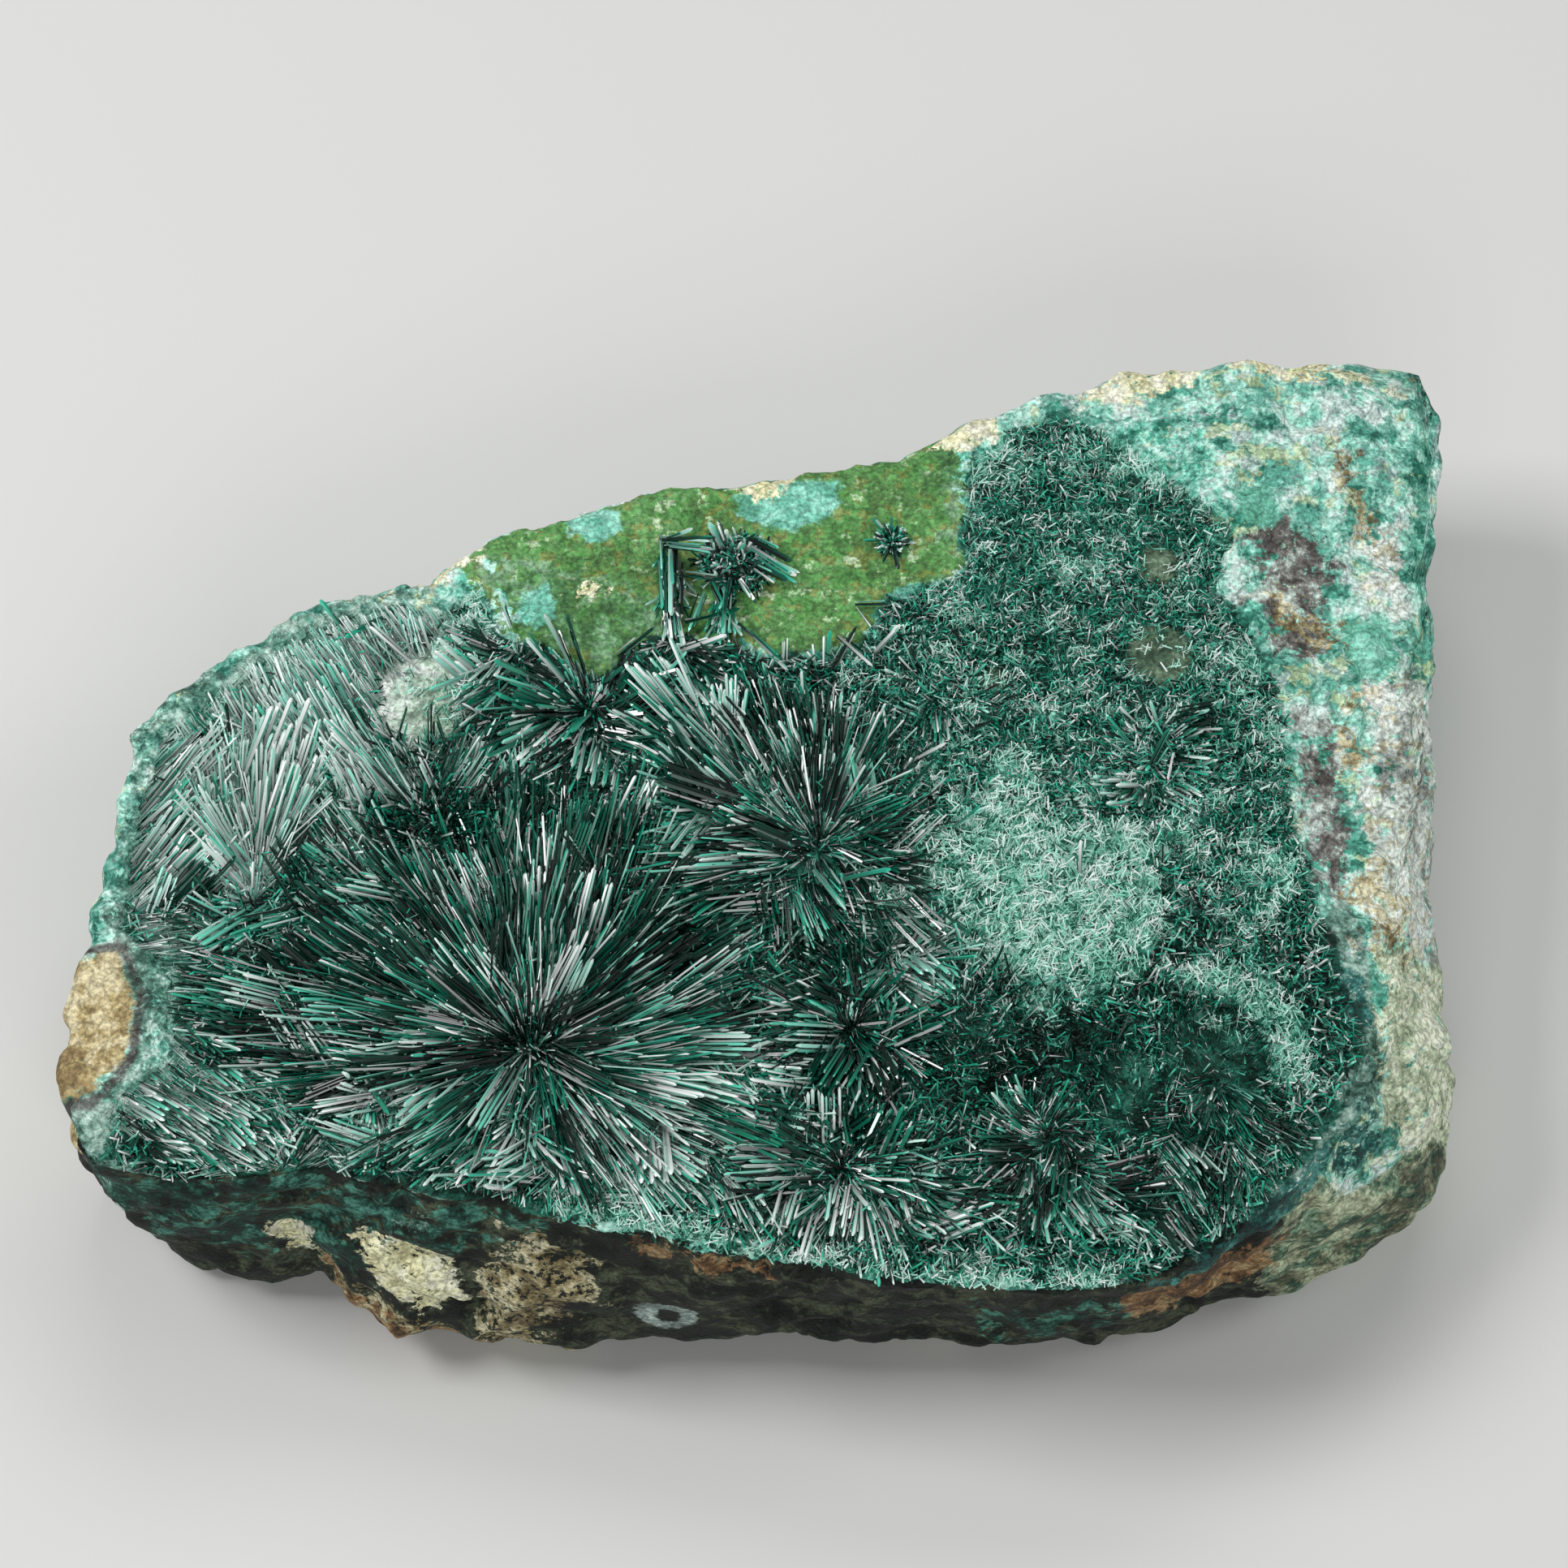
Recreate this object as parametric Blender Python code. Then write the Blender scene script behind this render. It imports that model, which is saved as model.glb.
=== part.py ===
"""Atacamite specimen: a slab of altered copper ore lying on its back, crystal face up.

Atacamite, a dark green copper chloride, grows over the face as one carpet of sprays of
slender four-sided prisms with wedge tips.  A small arched cluster and a small rosette stand
apart from it on a bare green patch near the far edge.

X runs along the slab, Y from the near edge (with the largest spray) to the far edge, Z up.
The slab rests on its flat back at z = 0.  Constants are in millimetres, and meshes are
scaled to metres when they are made.
"""

import math
import random

import bmesh
import bpy
import numpy as np
from mathutils import Matrix, Vector, noise

MM = 0.001
WELD = 0.004
OBJECT_NAME = "atacamite_specimen"
SEED = 7

# Slab: walls are swept around this middle, from the flat back up to the rim
MIDDLE = Vector((0.0, -5.0))
WALL_ANGLES = 96
Z_BELLY = 7.0
Z_SHOULDER = 18.0
Z_RIM = 26.0
WALL_HEIGHTS = (0.0, 1.2, 3.6, 7.0, 10.6, 14.4, 18.0, 20.8, 23.0, 24.8)
TOP_RINGS = (0.985, 0.93, 0.84, 0.72, 0.58, 0.42, 0.24)
BACK_INSET = 4.0
WALL_ROUGHNESS = 1.3
TOP_ROUGHNESS = 0.8

# Outline of the slab seen from above, clockwise from its near left corner
RIM_OUTLINE = (
    (-60.5, -36.4), (-63.8, -28.0), (-63.2, -22.0), (-61.6, -12.0), (-60.3, -3.5),
    (-59.5, 7.8), (-48.9, 17.2), (-43.0, 20.8), (-34.0, 23.5), (-28.0, 27.5),
    (-18.8, 30.9), (-0.3, 34.8), (12.1, 36.9), (18.4, 40.9), (31.0, 45.9),
    (40.5, 47.6), (56.3, 48.2), (62.5, 46.9), (64.2, 42.2), (61.4, 25.8),
    (60.2, 9.0), (57.6, -5.0), (55.8, -16.0), (54.1, -24.2), (50.1, -31.4),
    (46.2, -36.8), (38.7, -43.7), (31.5, -47.4), (17.4, -47.7), (3.3, -45.6),
    (-10.9, -42.6), (-25.2, -38.8), (-39.5, -36.2), (-53.7, -37.4),
)

# How far the wall stands out from the rim around the middle: (degrees, shoulder, belly)
WALL_LEAN = (
    (0, 3.0, 3.0), (20, 0.5, -1.0), (45, -1.0, -3.0), (90, -1.5, -4.0), (135, -1.5, -4.0),
    (165, -1.0, -2.0), (190, -0.5, -1.5), (199, 0.0, 0.4), (207, -1.0, -3.0),
    (215, 1.0, 2.0), (229, 4.0, 8.0), (245, 2.4, 4.4), (264, 0.8, 0.5), (285, -0.5, -2.5),
    (305, -0.8, -3.3), (318, 0.0, -0.9), (325, 2.5, 3.6), (331, 5.0, 7.4),
    (336, 6.5, 9.0), (346, 6.5, 7.6),
)

# Crystal carpet: its outline clockwise from the near left corner, and the seat cut for it
CARPET_OUTLINE = (
    (-59.6, -35.6), (-57.7, -29.4), (-53.6, -26.3), (-53.8, -18.3), (-59.0, -13.4),
    (-58.4, -1.9), (-57.0, 6.4), (-50.4, 12.2), (-43.2, 17.6), (-36.9, 20.2),
    (-31.8, 19.6), (-27.6, 22.9), (-25.8, 17.9), (-20.0, 15.2), (-16.2, 12.6),
    (-11.7, 17.4), (-7.9, 17.4), (0.4, 15.2), (8.0, 15.7), (10.8, 21.8), (18.0, 24.1),
    (18.4, 35.8), (22.3, 40.0), (28.6, 41.6), (33.9, 38.5), (43.6, 29.4), (41.9, 22.3),
    (45.2, 16.1), (47.8, 8.3), (47.3, -0.2), (49.1, -8.5), (50.8, -16.7), (53.0, -24.7),
    (49.6, -31.6), (46.0, -36.9), (38.8, -43.8), (31.5, -48.0), (17.4, -48.4),
    (3.3, -46.2), (-10.9, -43.2), (-25.2, -39.4), (-39.5, -36.8), (-53.5, -38.0),
)
CARPET_FLOOR = 24.0
CARPET_SURFACE = 26.1
CARPET_CELL = 3.4
CARPET_WELD = 0.5
GAP = 0.3
CUTTER_TOP = 45.0

# Sprays: centre x, y, number of rays, reach, thickness, first and last bearing in degrees
SPRAYS = (
    ("main spray", -21.6, -25.5, 24, 23.0, 1.8, -25, 335),
    ("central spray", 3.8, -5.2, 13, 16.0, 1.6, -60, 300),
    ("central spray's left fan", -0.7, -0.6, 5, 13.0, 1.4, 110, 215),
    ("far left star", -30.4, -1.9, 6, 8.0, 1.5, 0, 360),
    ("far star of thick prisms", -17.2, 9.0, 7, 8.5, 2.1, 0, 360),
    ("pale fan", -46.0, -11.0, 6, 16.0, 2.0, 35, 140),
    ("near left star", -51.3, -29.4, 5, 6.5, 1.5, 0, 360),
    ("left star by the main spray", -37.5, -30.2, 4, 6.5, 1.4, 120, 280),
    ("star right of the main spray", 7.0, -22.3, 6, 9.0, 1.5, 0, 360),
    ("near edge star", 5.8, -36.8, 6, 9.0, 1.5, 0, 360),
    ("small middle star", 17.3, -23.0, 4, 5.0, 1.3, 0, 360),
    ("small near star", 23.3, -33.7, 5, 7.0, 1.4, 0, 360),
    ("right dark star", 39.4, -27.9, 6, 8.5, 1.4, 0, 360),
    ("right near cluster", 41.0, -36.2, 3, 5.0, 1.3, 0, 360),
    ("right bright prisms", 34.9, 4.9, 4, 6.0, 1.4, 0, 360),
    ("far druse", 9.5, 10.0, 4, 6.0, 1.4, 0, 360),
)
UPRIGHT_TIPS = {"main spray": 5, "central spray": 4, "far star of thick prisms": 2}
WEDGE_FLATNESS = 0.78
RAY_TILT = (7.0, 15.0)
TIP_TILT = (52.0, 80.0)

# Druse ridges on the carpet between the sprays
DRUSE_RELIEF = 0.9
DRUSE_SCALE = 0.21

# Clusters that stand apart on the bare green patch, each on a seat cut into the rock
SEAT_FLOOR = 24.6
ARCH_CENTRE = (-5.4, 24.6)
ARCH_RADIUS = 3.0
ARCH_PRISMS = 11
ROSETTE_CENTRE = (11.2, 27.6)
ROSETTE_PRISMS = 9


def clear_scene():
    """Remove the objects that the file starts with."""
    for leftover in list(bpy.data.objects):
        bpy.data.objects.remove(leftover, do_unlink=True)


def make_collection(name):
    """Make a collection under the scene's own."""
    collection = bpy.data.collections.new(name)
    bpy.context.scene.collection.children.link(collection)
    return collection


def make_material(name, colour, roughness, metallic=0.0):
    """Plain Principled material, also shown in the solid view."""
    material = bpy.data.materials.new(name)
    material.use_nodes = True
    shader = material.node_tree.nodes["Principled BSDF"]
    shader.inputs["Base Color"].default_value = (*colour, 1.0)
    shader.inputs["Roughness"].default_value = roughness
    shader.inputs["Metallic"].default_value = metallic
    material.diffuse_color = (*colour, 1.0)
    return material


def add_object(name, bm, collection, material=None):
    """Turn a bmesh in millimetres into an object in metres."""
    bmesh.ops.scale(bm, vec=(MM, MM, MM), verts=bm.verts)
    bmesh.ops.recalc_face_normals(bm, faces=bm.faces)
    mesh = bpy.data.meshes.new(name)
    bm.to_mesh(mesh)
    bm.free()
    made = bpy.data.objects.new(name, mesh)
    collection.objects.link(made)
    if material:
        mesh.materials.append(material)
    return made


def make_cutter(made):
    """Mark an object as a cutter, so that it is only a guide."""
    made.hide_render = True
    made.display_type = "WIRE"
    return made


def add_boolean(target, operation, cutter, use_self=False):
    """Exact boolean of the target with one cutter."""
    modifier = target.modifiers.new(f"{operation.lower()} {cutter.name}", "BOOLEAN")
    modifier.operation = operation
    modifier.solver = "EXACT"
    modifier.object = cutter
    modifier.use_self = use_self
    return modifier


def without_crumbs(made):
    """The object with its booleans applied and only its largest body kept.

    Crowded prisms leave specks and tiny sealed voids between them, which a solid can't have.
    """
    graph = bpy.context.evaluated_depsgraph_get()
    mesh = bpy.data.meshes.new_from_object(made.evaluated_get(graph))
    bm = bmesh.new()
    bm.from_mesh(mesh)
    bmesh.ops.remove_doubles(bm, verts=bm.verts, dist=WELD * MM)
    bmesh.ops.dissolve_degenerate(bm, edges=bm.edges, dist=WELD * MM)
    bodies = []
    waiting = set(bm.verts)
    while waiting:
        body = {waiting.pop()}
        front = list(body)
        while front:
            here = front.pop()
            joined = {edge.other_vert(here) for edge in here.link_edges} - body
            body |= joined
            front.extend(joined)
        waiting -= body
        bodies.append(body)
    largest = max(bodies, key=len)
    crumbs = [vertex for vertex in bm.verts if vertex not in largest]
    bmesh.ops.delete(bm, geom=crumbs, context="VERTS")
    bm.to_mesh(mesh)
    bm.free()
    made.modifiers.clear()
    made.data = mesh
    return made


def rough(x, y, z, scale, octaves=3):
    """Smooth noise from -1 to 1 at a point in millimetres."""
    return noise.fractal(Vector((x, y, z)) * scale, 1.0, 2.0, octaves)


def bell(x, y, centre_x, centre_y, radius):
    """A round hump: 1 at its centre, falling away over its radius."""
    return math.exp(-((x - centre_x) ** 2 + (y - centre_y) ** 2) / radius**2)


def rim_radius(angle):
    """Distance from the middle to the rim outline at an angle in radians."""
    bearings = [math.atan2(y - MIDDLE.y, x - MIDDLE.x) for x, y in RIM_OUTLINE]
    radii = [math.hypot(x - MIDDLE.x, y - MIDDLE.y) for x, y in RIM_OUTLINE]
    order = np.argsort(bearings)
    return float(
        np.interp(angle, np.array(bearings)[order], np.array(radii)[order], period=math.tau)
    )


def wall_lean(angle, z):
    """How far the wall stands out from the rim at an angle and height."""
    bearings, shoulder, belly = zip(*WALL_LEAN)
    turn = math.degrees(angle)
    at_shoulder = np.interp(turn, bearings, shoulder, period=360)
    at_belly = np.interp(turn, bearings, belly, period=360)
    heights = (0.0, Z_BELLY, Z_SHOULDER, Z_RIM)
    return float(np.interp(z, heights, (at_belly - BACK_INSET, at_belly, at_shoulder, 0.0)))


def slab_height(x, y):
    """Height of the slab's upper face: lumpy, lower on the right and on the bare patch."""
    right_slope = 0.2 * max(0.0, x - 46.0)
    bare_patch = 0.7 * bell(x, y, -4.0, 27.0, 16.0)
    corner_lump = 0.9 * bell(x, y, 52.0, 38.0, 10.0)
    lumps = TOP_ROUGHNESS * rough(x, y, 0.0, 0.09)
    return Z_RIM + lumps - right_slope - bare_patch + corner_lump


def loft_ring(bm, scale, height_at, radius_at):
    """One ring of the slab's loft, as a list of vertices."""
    ring = []
    for index in range(WALL_ANGLES):
        angle = index * math.tau / WALL_ANGLES
        radius = radius_at(angle) * scale
        x = MIDDLE.x + radius * math.cos(angle)
        y = MIDDLE.y + radius * math.sin(angle)
        ring.append(bm.verts.new((x, y, height_at(x, y))))
    return ring


def bridge_rings(bm, lower, upper):
    """Quads between two rings of the same length."""
    for index in range(len(lower)):
        after = (index + 1) % len(lower)
        bm.faces.new((lower[index], lower[after], upper[after], upper[index]))


def slab_bmesh():
    """The slab: a loft of unlike rings from its flat back to its lumpy upper face."""
    bm = bmesh.new()

    def wall_radius(angle, z):
        # The broken wall is rough in the middle of its height and firm at the back
        direction = Vector((math.cos(angle), math.sin(angle))) * 60.0
        broken = WALL_ROUGHNESS * rough(direction.x, direction.y, z * 2.0, 0.075)
        fade = min(1.0, (Z_RIM - z) / 6.0)
        return rim_radius(angle) + wall_lean(angle, z) + broken * fade

    rings = []
    for z in WALL_HEIGHTS:
        rings.append(loft_ring(bm, 1.0, lambda x, y, z=z: z, lambda a, z=z: wall_radius(a, z)))
    for scale in TOP_RINGS:
        rings.append(loft_ring(bm, scale, slab_height, rim_radius))
    for lower, upper in zip(rings, rings[1:]):
        bridge_rings(bm, lower, upper)
    bm.faces.new(reversed(rings[0]))
    peak = bm.verts.new((MIDDLE.x, MIDDLE.y, slab_height(MIDDLE.x, MIDDLE.y)))
    for index in range(WALL_ANGLES):
        bm.faces.new((rings[-1][index], rings[-1][(index + 1) % WALL_ANGLES], peak))
    return bm


def grown_outline(points, distance):
    """The outline moved outward by a distance, with mitred corners."""
    grown = []
    count = len(points)
    for index in range(count):
        before, here, after = (Vector(points[(index + step) % count]) for step in (-1, 0, 1))
        into = (here - before).normalized()
        out_of = (after - here).normalized()
        outward = Vector((-into.y - out_of.y, into.x + out_of.x)).normalized()
        mitre = outward.dot(Vector((-into.y, into.x)))
        grown.append(here + outward * distance / max(mitre, 0.4))
    return grown


def prism_bmesh(outline, bottom, top):
    """An upright prism over a flat outline."""
    bm = bmesh.new()
    floor = bm.faces.new([bm.verts.new((x, y, bottom)) for x, y in outline])
    lifted = bmesh.ops.extrude_face_region(bm, geom=[floor])["geom"]
    moved = [item for item in lifted if isinstance(item, bmesh.types.BMVert)]
    bmesh.ops.translate(bm, vec=(0, 0, top - bottom), verts=moved)
    return bm


def carpet_height(x, y):
    """Top of the carpet without its crystals: a dome under each spray, ridges between."""
    height = CARPET_SURFACE + DRUSE_RELIEF * rough(x, y, 3.0, DRUSE_SCALE, 2)
    for _, centre_x, centre_y, _, reach, _, _, _ in SPRAYS:
        height += 0.075 * reach * bell(x, y, centre_x, centre_y, 0.55 * reach)
    return height


def carpet_block_bmesh():
    """A closed block inside the carpet's outline, with the carpet's relief on top."""
    bm = bmesh.new()
    bm.faces.new([bm.verts.new((x, y, 0.0)) for x, y in CARPET_OUTLINE])
    low = np.min(CARPET_OUTLINE, axis=0)
    high = np.max(CARPET_OUTLINE, axis=0)
    for axis, direction in enumerate((Vector((1, 0, 0)), Vector((0, 1, 0)))):
        for place in np.arange(low[axis] + 0.5 * CARPET_CELL, high[axis], CARPET_CELL):
            everything = bm.verts[:] + bm.edges[:] + bm.faces[:]
            bmesh.ops.bisect_plane(
                bm, geom=everything, plane_co=direction * place, plane_no=direction
            )
    bmesh.ops.remove_doubles(bm, verts=bm.verts, dist=CARPET_WELD)
    for vertex in bm.verts:
        vertex.co.z = carpet_height(vertex.co.x, vertex.co.y)
    border = [edge for edge in bm.edges if edge.is_boundary]
    skirt = bmesh.ops.extrude_edge_only(bm, edges=border)["geom"]
    for item in skirt:
        if isinstance(item, bmesh.types.BMVert):
            item.co.z = CARPET_FLOOR
    bmesh.ops.holes_fill(bm, edges=[edge for edge in bm.edges if edge.is_boundary], sides=0)
    bmesh.ops.triangulate(bm, faces=bm.faces)
    return bm


def add_crystal(bm, foot, direction, length, width, roll):
    """A slender four-sided prism with a wedge tip, grown from its foot along a direction."""
    shaft = bmesh.ops.create_cone(
        bm, cap_ends=True, segments=4, radius1=0.5 * width, radius2=0.5 * width, depth=length
    )["verts"]
    bmesh.ops.translate(bm, vec=(0, 0, 0.5 * length), verts=shaft)
    bmesh.ops.scale(bm, vec=(1, WEDGE_FLATNESS, 1), verts=shaft)
    top = [vertex for vertex in shaft if vertex.co.z > 0.5 * length]
    cap = next(face for face in top[0].link_faces if all(v in top for v in face.verts))
    wedge = bmesh.ops.extrude_face_region(bm, geom=[cap])["geom"]
    bmesh.ops.delete(bm, geom=[cap], context="FACES_ONLY")
    ridge = [item for item in wedge if isinstance(item, bmesh.types.BMVert)]
    for vertex in ridge:
        side = 1.0 if vertex.co.x + vertex.co.y > 0.0 else -1.0
        vertex.co = (side * 0.25 * width, 0.0, length + 0.75 * width)
    bmesh.ops.remove_doubles(bm, verts=ridge, dist=0.01)
    ridge = [vertex for vertex in ridge if vertex.is_valid]
    turn = Vector(direction).to_track_quat("Z", "Y").to_matrix().to_4x4()
    place = Matrix.Translation(foot) @ turn @ Matrix.Rotation(roll, 4, "Z")
    bmesh.ops.transform(bm, matrix=place, verts=shaft + ridge)


def bearing_vector(bearing, tilt):
    """Direction with a compass bearing and a tilt above the level, both in degrees."""
    level = math.cos(math.radians(tilt))
    return Vector(
        (
            level * math.cos(math.radians(bearing)),
            level * math.sin(math.radians(bearing)),
            math.sin(math.radians(tilt)),
        )
    )


def room_to_edge(x, y, bearing):
    """Distance from a point to the carpet's outline along a bearing."""
    ray = Vector((math.cos(math.radians(bearing)), math.sin(math.radians(bearing))))
    start = Vector((x, y))
    nearest = 1000.0
    for index, corner in enumerate(CARPET_OUTLINE):
        side = Vector(corner) - Vector(CARPET_OUTLINE[index - 1])
        offset = Vector(CARPET_OUTLINE[index - 1]) - start
        across = ray.cross(side)
        if abs(across) < 1e-6:
            continue
        distance = offset.cross(side) / across
        along = offset.cross(ray) / across
        if distance > 0.0 and 0.0 <= along <= 1.0:
            nearest = min(nearest, distance)
    return nearest


def add_spray(bm, spray, generator):
    """Rays of one spray, low and long at its rim, with upright tips at its heart."""
    name, x, y, rays, reach, thickness, first, last = spray
    for index in range(rays):
        bearing = first + (last - first) * (index + 0.5) / rays + generator.uniform(-5, 5)
        inner = reach * generator.uniform(0.06, 0.16)
        length = reach * generator.uniform(0.62, 0.95) - inner
        length = min(length, room_to_edge(x, y, bearing) - inner - thickness)
        if length < 2.0:
            continue
        tilt = generator.uniform(*RAY_TILT)
        outward = bearing_vector(bearing, tilt)
        foot_x = x + inner * math.cos(math.radians(bearing))
        foot_y = y + inner * math.sin(math.radians(bearing))
        foot = Vector((foot_x, foot_y, carpet_height(foot_x, foot_y) - 0.25 * thickness))
        width = thickness * generator.uniform(0.8, 1.2)
        add_crystal(bm, foot, outward, length, width, generator.uniform(0, math.tau))
    for index in range(UPRIGHT_TIPS.get(name, 1)):
        bearing = index * 137.5
        outward = bearing_vector(bearing, generator.uniform(*TIP_TILT))
        foot = Vector((x, y, carpet_height(x, y) - 1.2)) + outward * 0.5
        foot += bearing_vector(bearing, 0) * reach * generator.uniform(0.02, 0.1)
        length = 0.14 * reach + generator.uniform(1.4, 2.2)
        add_crystal(bm, foot, outward, length, thickness, generator.uniform(0, math.tau))


def sprays_bmesh(generator):
    """All the carpet's crystals, still as separate prisms that overlap."""
    bm = bmesh.new()
    for spray in SPRAYS:
        add_spray(bm, spray, generator)
    return bm


def arch_bmesh(generator):
    """Thick prisms along an arch that opens to the right, leaning outward and up."""
    bm = bmesh.new()
    for index in range(ARCH_PRISMS):
        bearing = 35.0 + 285.0 * index / (ARCH_PRISMS - 1)
        x = ARCH_CENTRE[0] + ARCH_RADIUS * math.cos(math.radians(bearing))
        y = ARCH_CENTRE[1] + ARCH_RADIUS * math.sin(math.radians(bearing))
        lean = bearing_vector(bearing + generator.uniform(-15, 15), generator.uniform(38, 60))
        foot = Vector((x, y, SEAT_FLOOR + 1.0)) - lean * 0.7
        length = generator.uniform(3.2, 4.6)
        add_crystal(bm, foot, lean, length, generator.uniform(1.5, 2.0), generator.uniform(0, 3))
    return bm


def rosette_bmesh(generator):
    """A small star of prisms around one centre."""
    bm = bmesh.new()
    for index in range(ROSETTE_PRISMS):
        bearing = 360.0 * index / ROSETTE_PRISMS + generator.uniform(-12, 12)
        lean = bearing_vector(bearing, generator.uniform(30, 62))
        foot = Vector((*ROSETTE_CENTRE, SEAT_FLOOR + 0.8)) + bearing_vector(bearing, 0) * 0.8
        length = generator.uniform(1.7, 2.9)
        add_crystal(bm, foot, lean, length, generator.uniform(0.9, 1.3), generator.uniform(0, 3))
    return bm


def circle_points(centre, radius, count=20):
    """A round outline, clockwise."""
    turns = [-math.tau * index / count for index in range(count)]
    return [
        (centre[0] + radius * math.cos(turn), centre[1] + radius * math.sin(turn))
        for turn in turns
    ]


def build_host_rock(parts, cutters):
    """The slab, with a shallow seat for the carpet and for each small cluster."""
    ore = make_material("altered_ore", (0.16, 0.25, 0.15), 0.7)
    rock = add_object("host_rock", slab_bmesh(), parts, ore)
    seats = {
        "carpet seat": (grown_outline(CARPET_OUTLINE, GAP), CARPET_FLOOR - GAP),
        "arch seat": (circle_points(ARCH_CENTRE, ARCH_RADIUS + 1.6 + GAP), SEAT_FLOOR - GAP),
        "rosette seat": (circle_points(ROSETTE_CENTRE, 2.2 + GAP), SEAT_FLOOR - GAP),
    }
    for name, (outline, floor) in seats.items():
        cutter = make_cutter(add_object(name, prism_bmesh(outline, floor, CUTTER_TOP), cutters))
        add_boolean(rock, "DIFFERENCE", cutter)
    return rock


def build_crystal_carpet(parts, cutters, generator):
    """The carpet: its relief inside its outline, with every crystal fused to it."""
    green = make_material("atacamite_green", (0.02, 0.09, 0.04), 0.25)
    carpet = add_object("crystal_carpet", carpet_block_bmesh(), parts, green)
    prisms = make_cutter(add_object("carpet crystals", sprays_bmesh(generator), cutters))
    add_boolean(carpet, "UNION", prisms, use_self=True)
    return without_crumbs(carpet)


def build_cluster(name, pad_outline, pad_height, prisms, material, parts, cutters):
    """A small cluster: prisms fused on a low pad, cut flat underneath."""
    pad = prism_bmesh(pad_outline, SEAT_FLOOR, SEAT_FLOOR + pad_height)
    cluster = add_object(name, pad, parts, material)
    crystals = make_cutter(add_object(f"{name} crystals", prisms, cutters))
    add_boolean(cluster, "UNION", crystals, use_self=True)
    below = circle_points(pad_outline[0], 30.0)
    ground = prism_bmesh(below, SEAT_FLOOR - 10.0, SEAT_FLOOR)
    add_boolean(cluster, "DIFFERENCE", make_cutter(add_object(f"{name} foot", ground, cutters)))
    return without_crumbs(cluster)


def arch_pad():
    """Outline of the arch's pad: a ring with a gap, open to the right, clockwise."""
    outer = [math.radians(turn) for turn in range(320, 30, -29)]
    inner = [math.radians(turn) for turn in range(30, 321, 29)]
    reach = [(turn, ARCH_RADIUS + 1.4) for turn in outer]
    reach += [(turn, ARCH_RADIUS - 1.4) for turn in inner]
    return [
        (ARCH_CENTRE[0] + radius * math.cos(turn), ARCH_CENTRE[1] + radius * math.sin(turn))
        for turn, radius in reach
    ]


def main():
    """Build the specimen."""
    clear_scene()
    parts = make_collection(OBJECT_NAME)
    cutters = make_collection("cutters")
    build_host_rock(parts, cutters)
    build_crystal_carpet(parts, cutters, random.Random(SEED))
    arch_green = make_material("atacamite_arch_green", (0.05, 0.13, 0.07), 0.3)
    arch = arch_bmesh(random.Random(SEED + 1))
    build_cluster("arch_cluster", arch_pad(), 1.5, arch, arch_green, parts, cutters)
    rosette_green = make_material("atacamite_rosette_green", (0.04, 0.11, 0.06), 0.3)
    star = rosette_bmesh(random.Random(SEED + 2))
    pad = circle_points(ROSETTE_CENTRE, 1.6, 12)
    build_cluster("small_rosette", pad, 1.2, star, rosette_green, parts, cutters)


main()
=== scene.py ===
"""Looks of the atacamite specimen: a slab of altered copper ore lying crystal face up.

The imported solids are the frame.  A fine slab surface and several meshes of crystals replace
them, all in the same place.  Lengths are in millimetres until a mesh is made.
"""

import math
from itertools import product
from types import SimpleNamespace

import bpy
import numpy as np
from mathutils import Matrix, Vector


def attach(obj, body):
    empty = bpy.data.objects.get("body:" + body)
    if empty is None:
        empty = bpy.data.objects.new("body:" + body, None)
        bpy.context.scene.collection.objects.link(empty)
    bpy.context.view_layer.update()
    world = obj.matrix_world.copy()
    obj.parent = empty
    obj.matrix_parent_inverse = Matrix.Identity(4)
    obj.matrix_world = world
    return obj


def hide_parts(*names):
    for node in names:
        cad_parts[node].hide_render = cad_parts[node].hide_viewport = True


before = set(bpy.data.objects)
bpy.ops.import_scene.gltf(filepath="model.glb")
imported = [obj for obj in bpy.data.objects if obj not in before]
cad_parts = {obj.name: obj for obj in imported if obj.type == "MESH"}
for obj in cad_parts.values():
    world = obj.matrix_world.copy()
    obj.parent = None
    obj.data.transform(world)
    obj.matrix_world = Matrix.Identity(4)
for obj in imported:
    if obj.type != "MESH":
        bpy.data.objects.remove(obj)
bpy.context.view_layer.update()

MM = 0.001
SEED = 20

# The camera looks down on the lying slab at the photograph's angle
CAMERA_ELEVATION = 62.0
CAMERA_DISTANCE = 400.0
CAMERA_TARGET = (0.9, 1.0, 27.0)
CAMERA_LENS = 100.0

# Slab, as the solids have it
MIDDLE = np.array([0.0, -5.0])
Z_BELLY = 7.0
Z_SHOULDER = 18.0
Z_RIM = 26.0
BACK_INSET = 4.0
RIM_OUTLINE = np.array([
    (-60.5, -36.4), (-63.8, -28.0), (-63.2, -22.0), (-61.6, -12.0), (-60.3, -3.5),
    (-59.5, 7.8), (-48.9, 17.2), (-43.0, 20.8), (-34.0, 23.5), (-28.0, 27.5),
    (-18.8, 30.9), (-0.3, 34.8), (12.1, 36.9), (18.4, 40.9), (31.0, 45.9),
    (40.5, 47.6), (56.3, 48.2), (62.5, 46.9), (64.2, 42.2), (61.4, 25.8),
    (60.2, 9.0), (57.6, -5.0), (55.8, -16.0), (54.1, -24.2), (50.1, -31.4),
    (46.2, -36.8), (38.7, -43.7), (31.5, -47.4), (17.4, -47.7), (3.3, -45.6),
    (-10.9, -42.6), (-25.2, -38.8), (-39.5, -36.2), (-53.7, -37.4),
])
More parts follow.
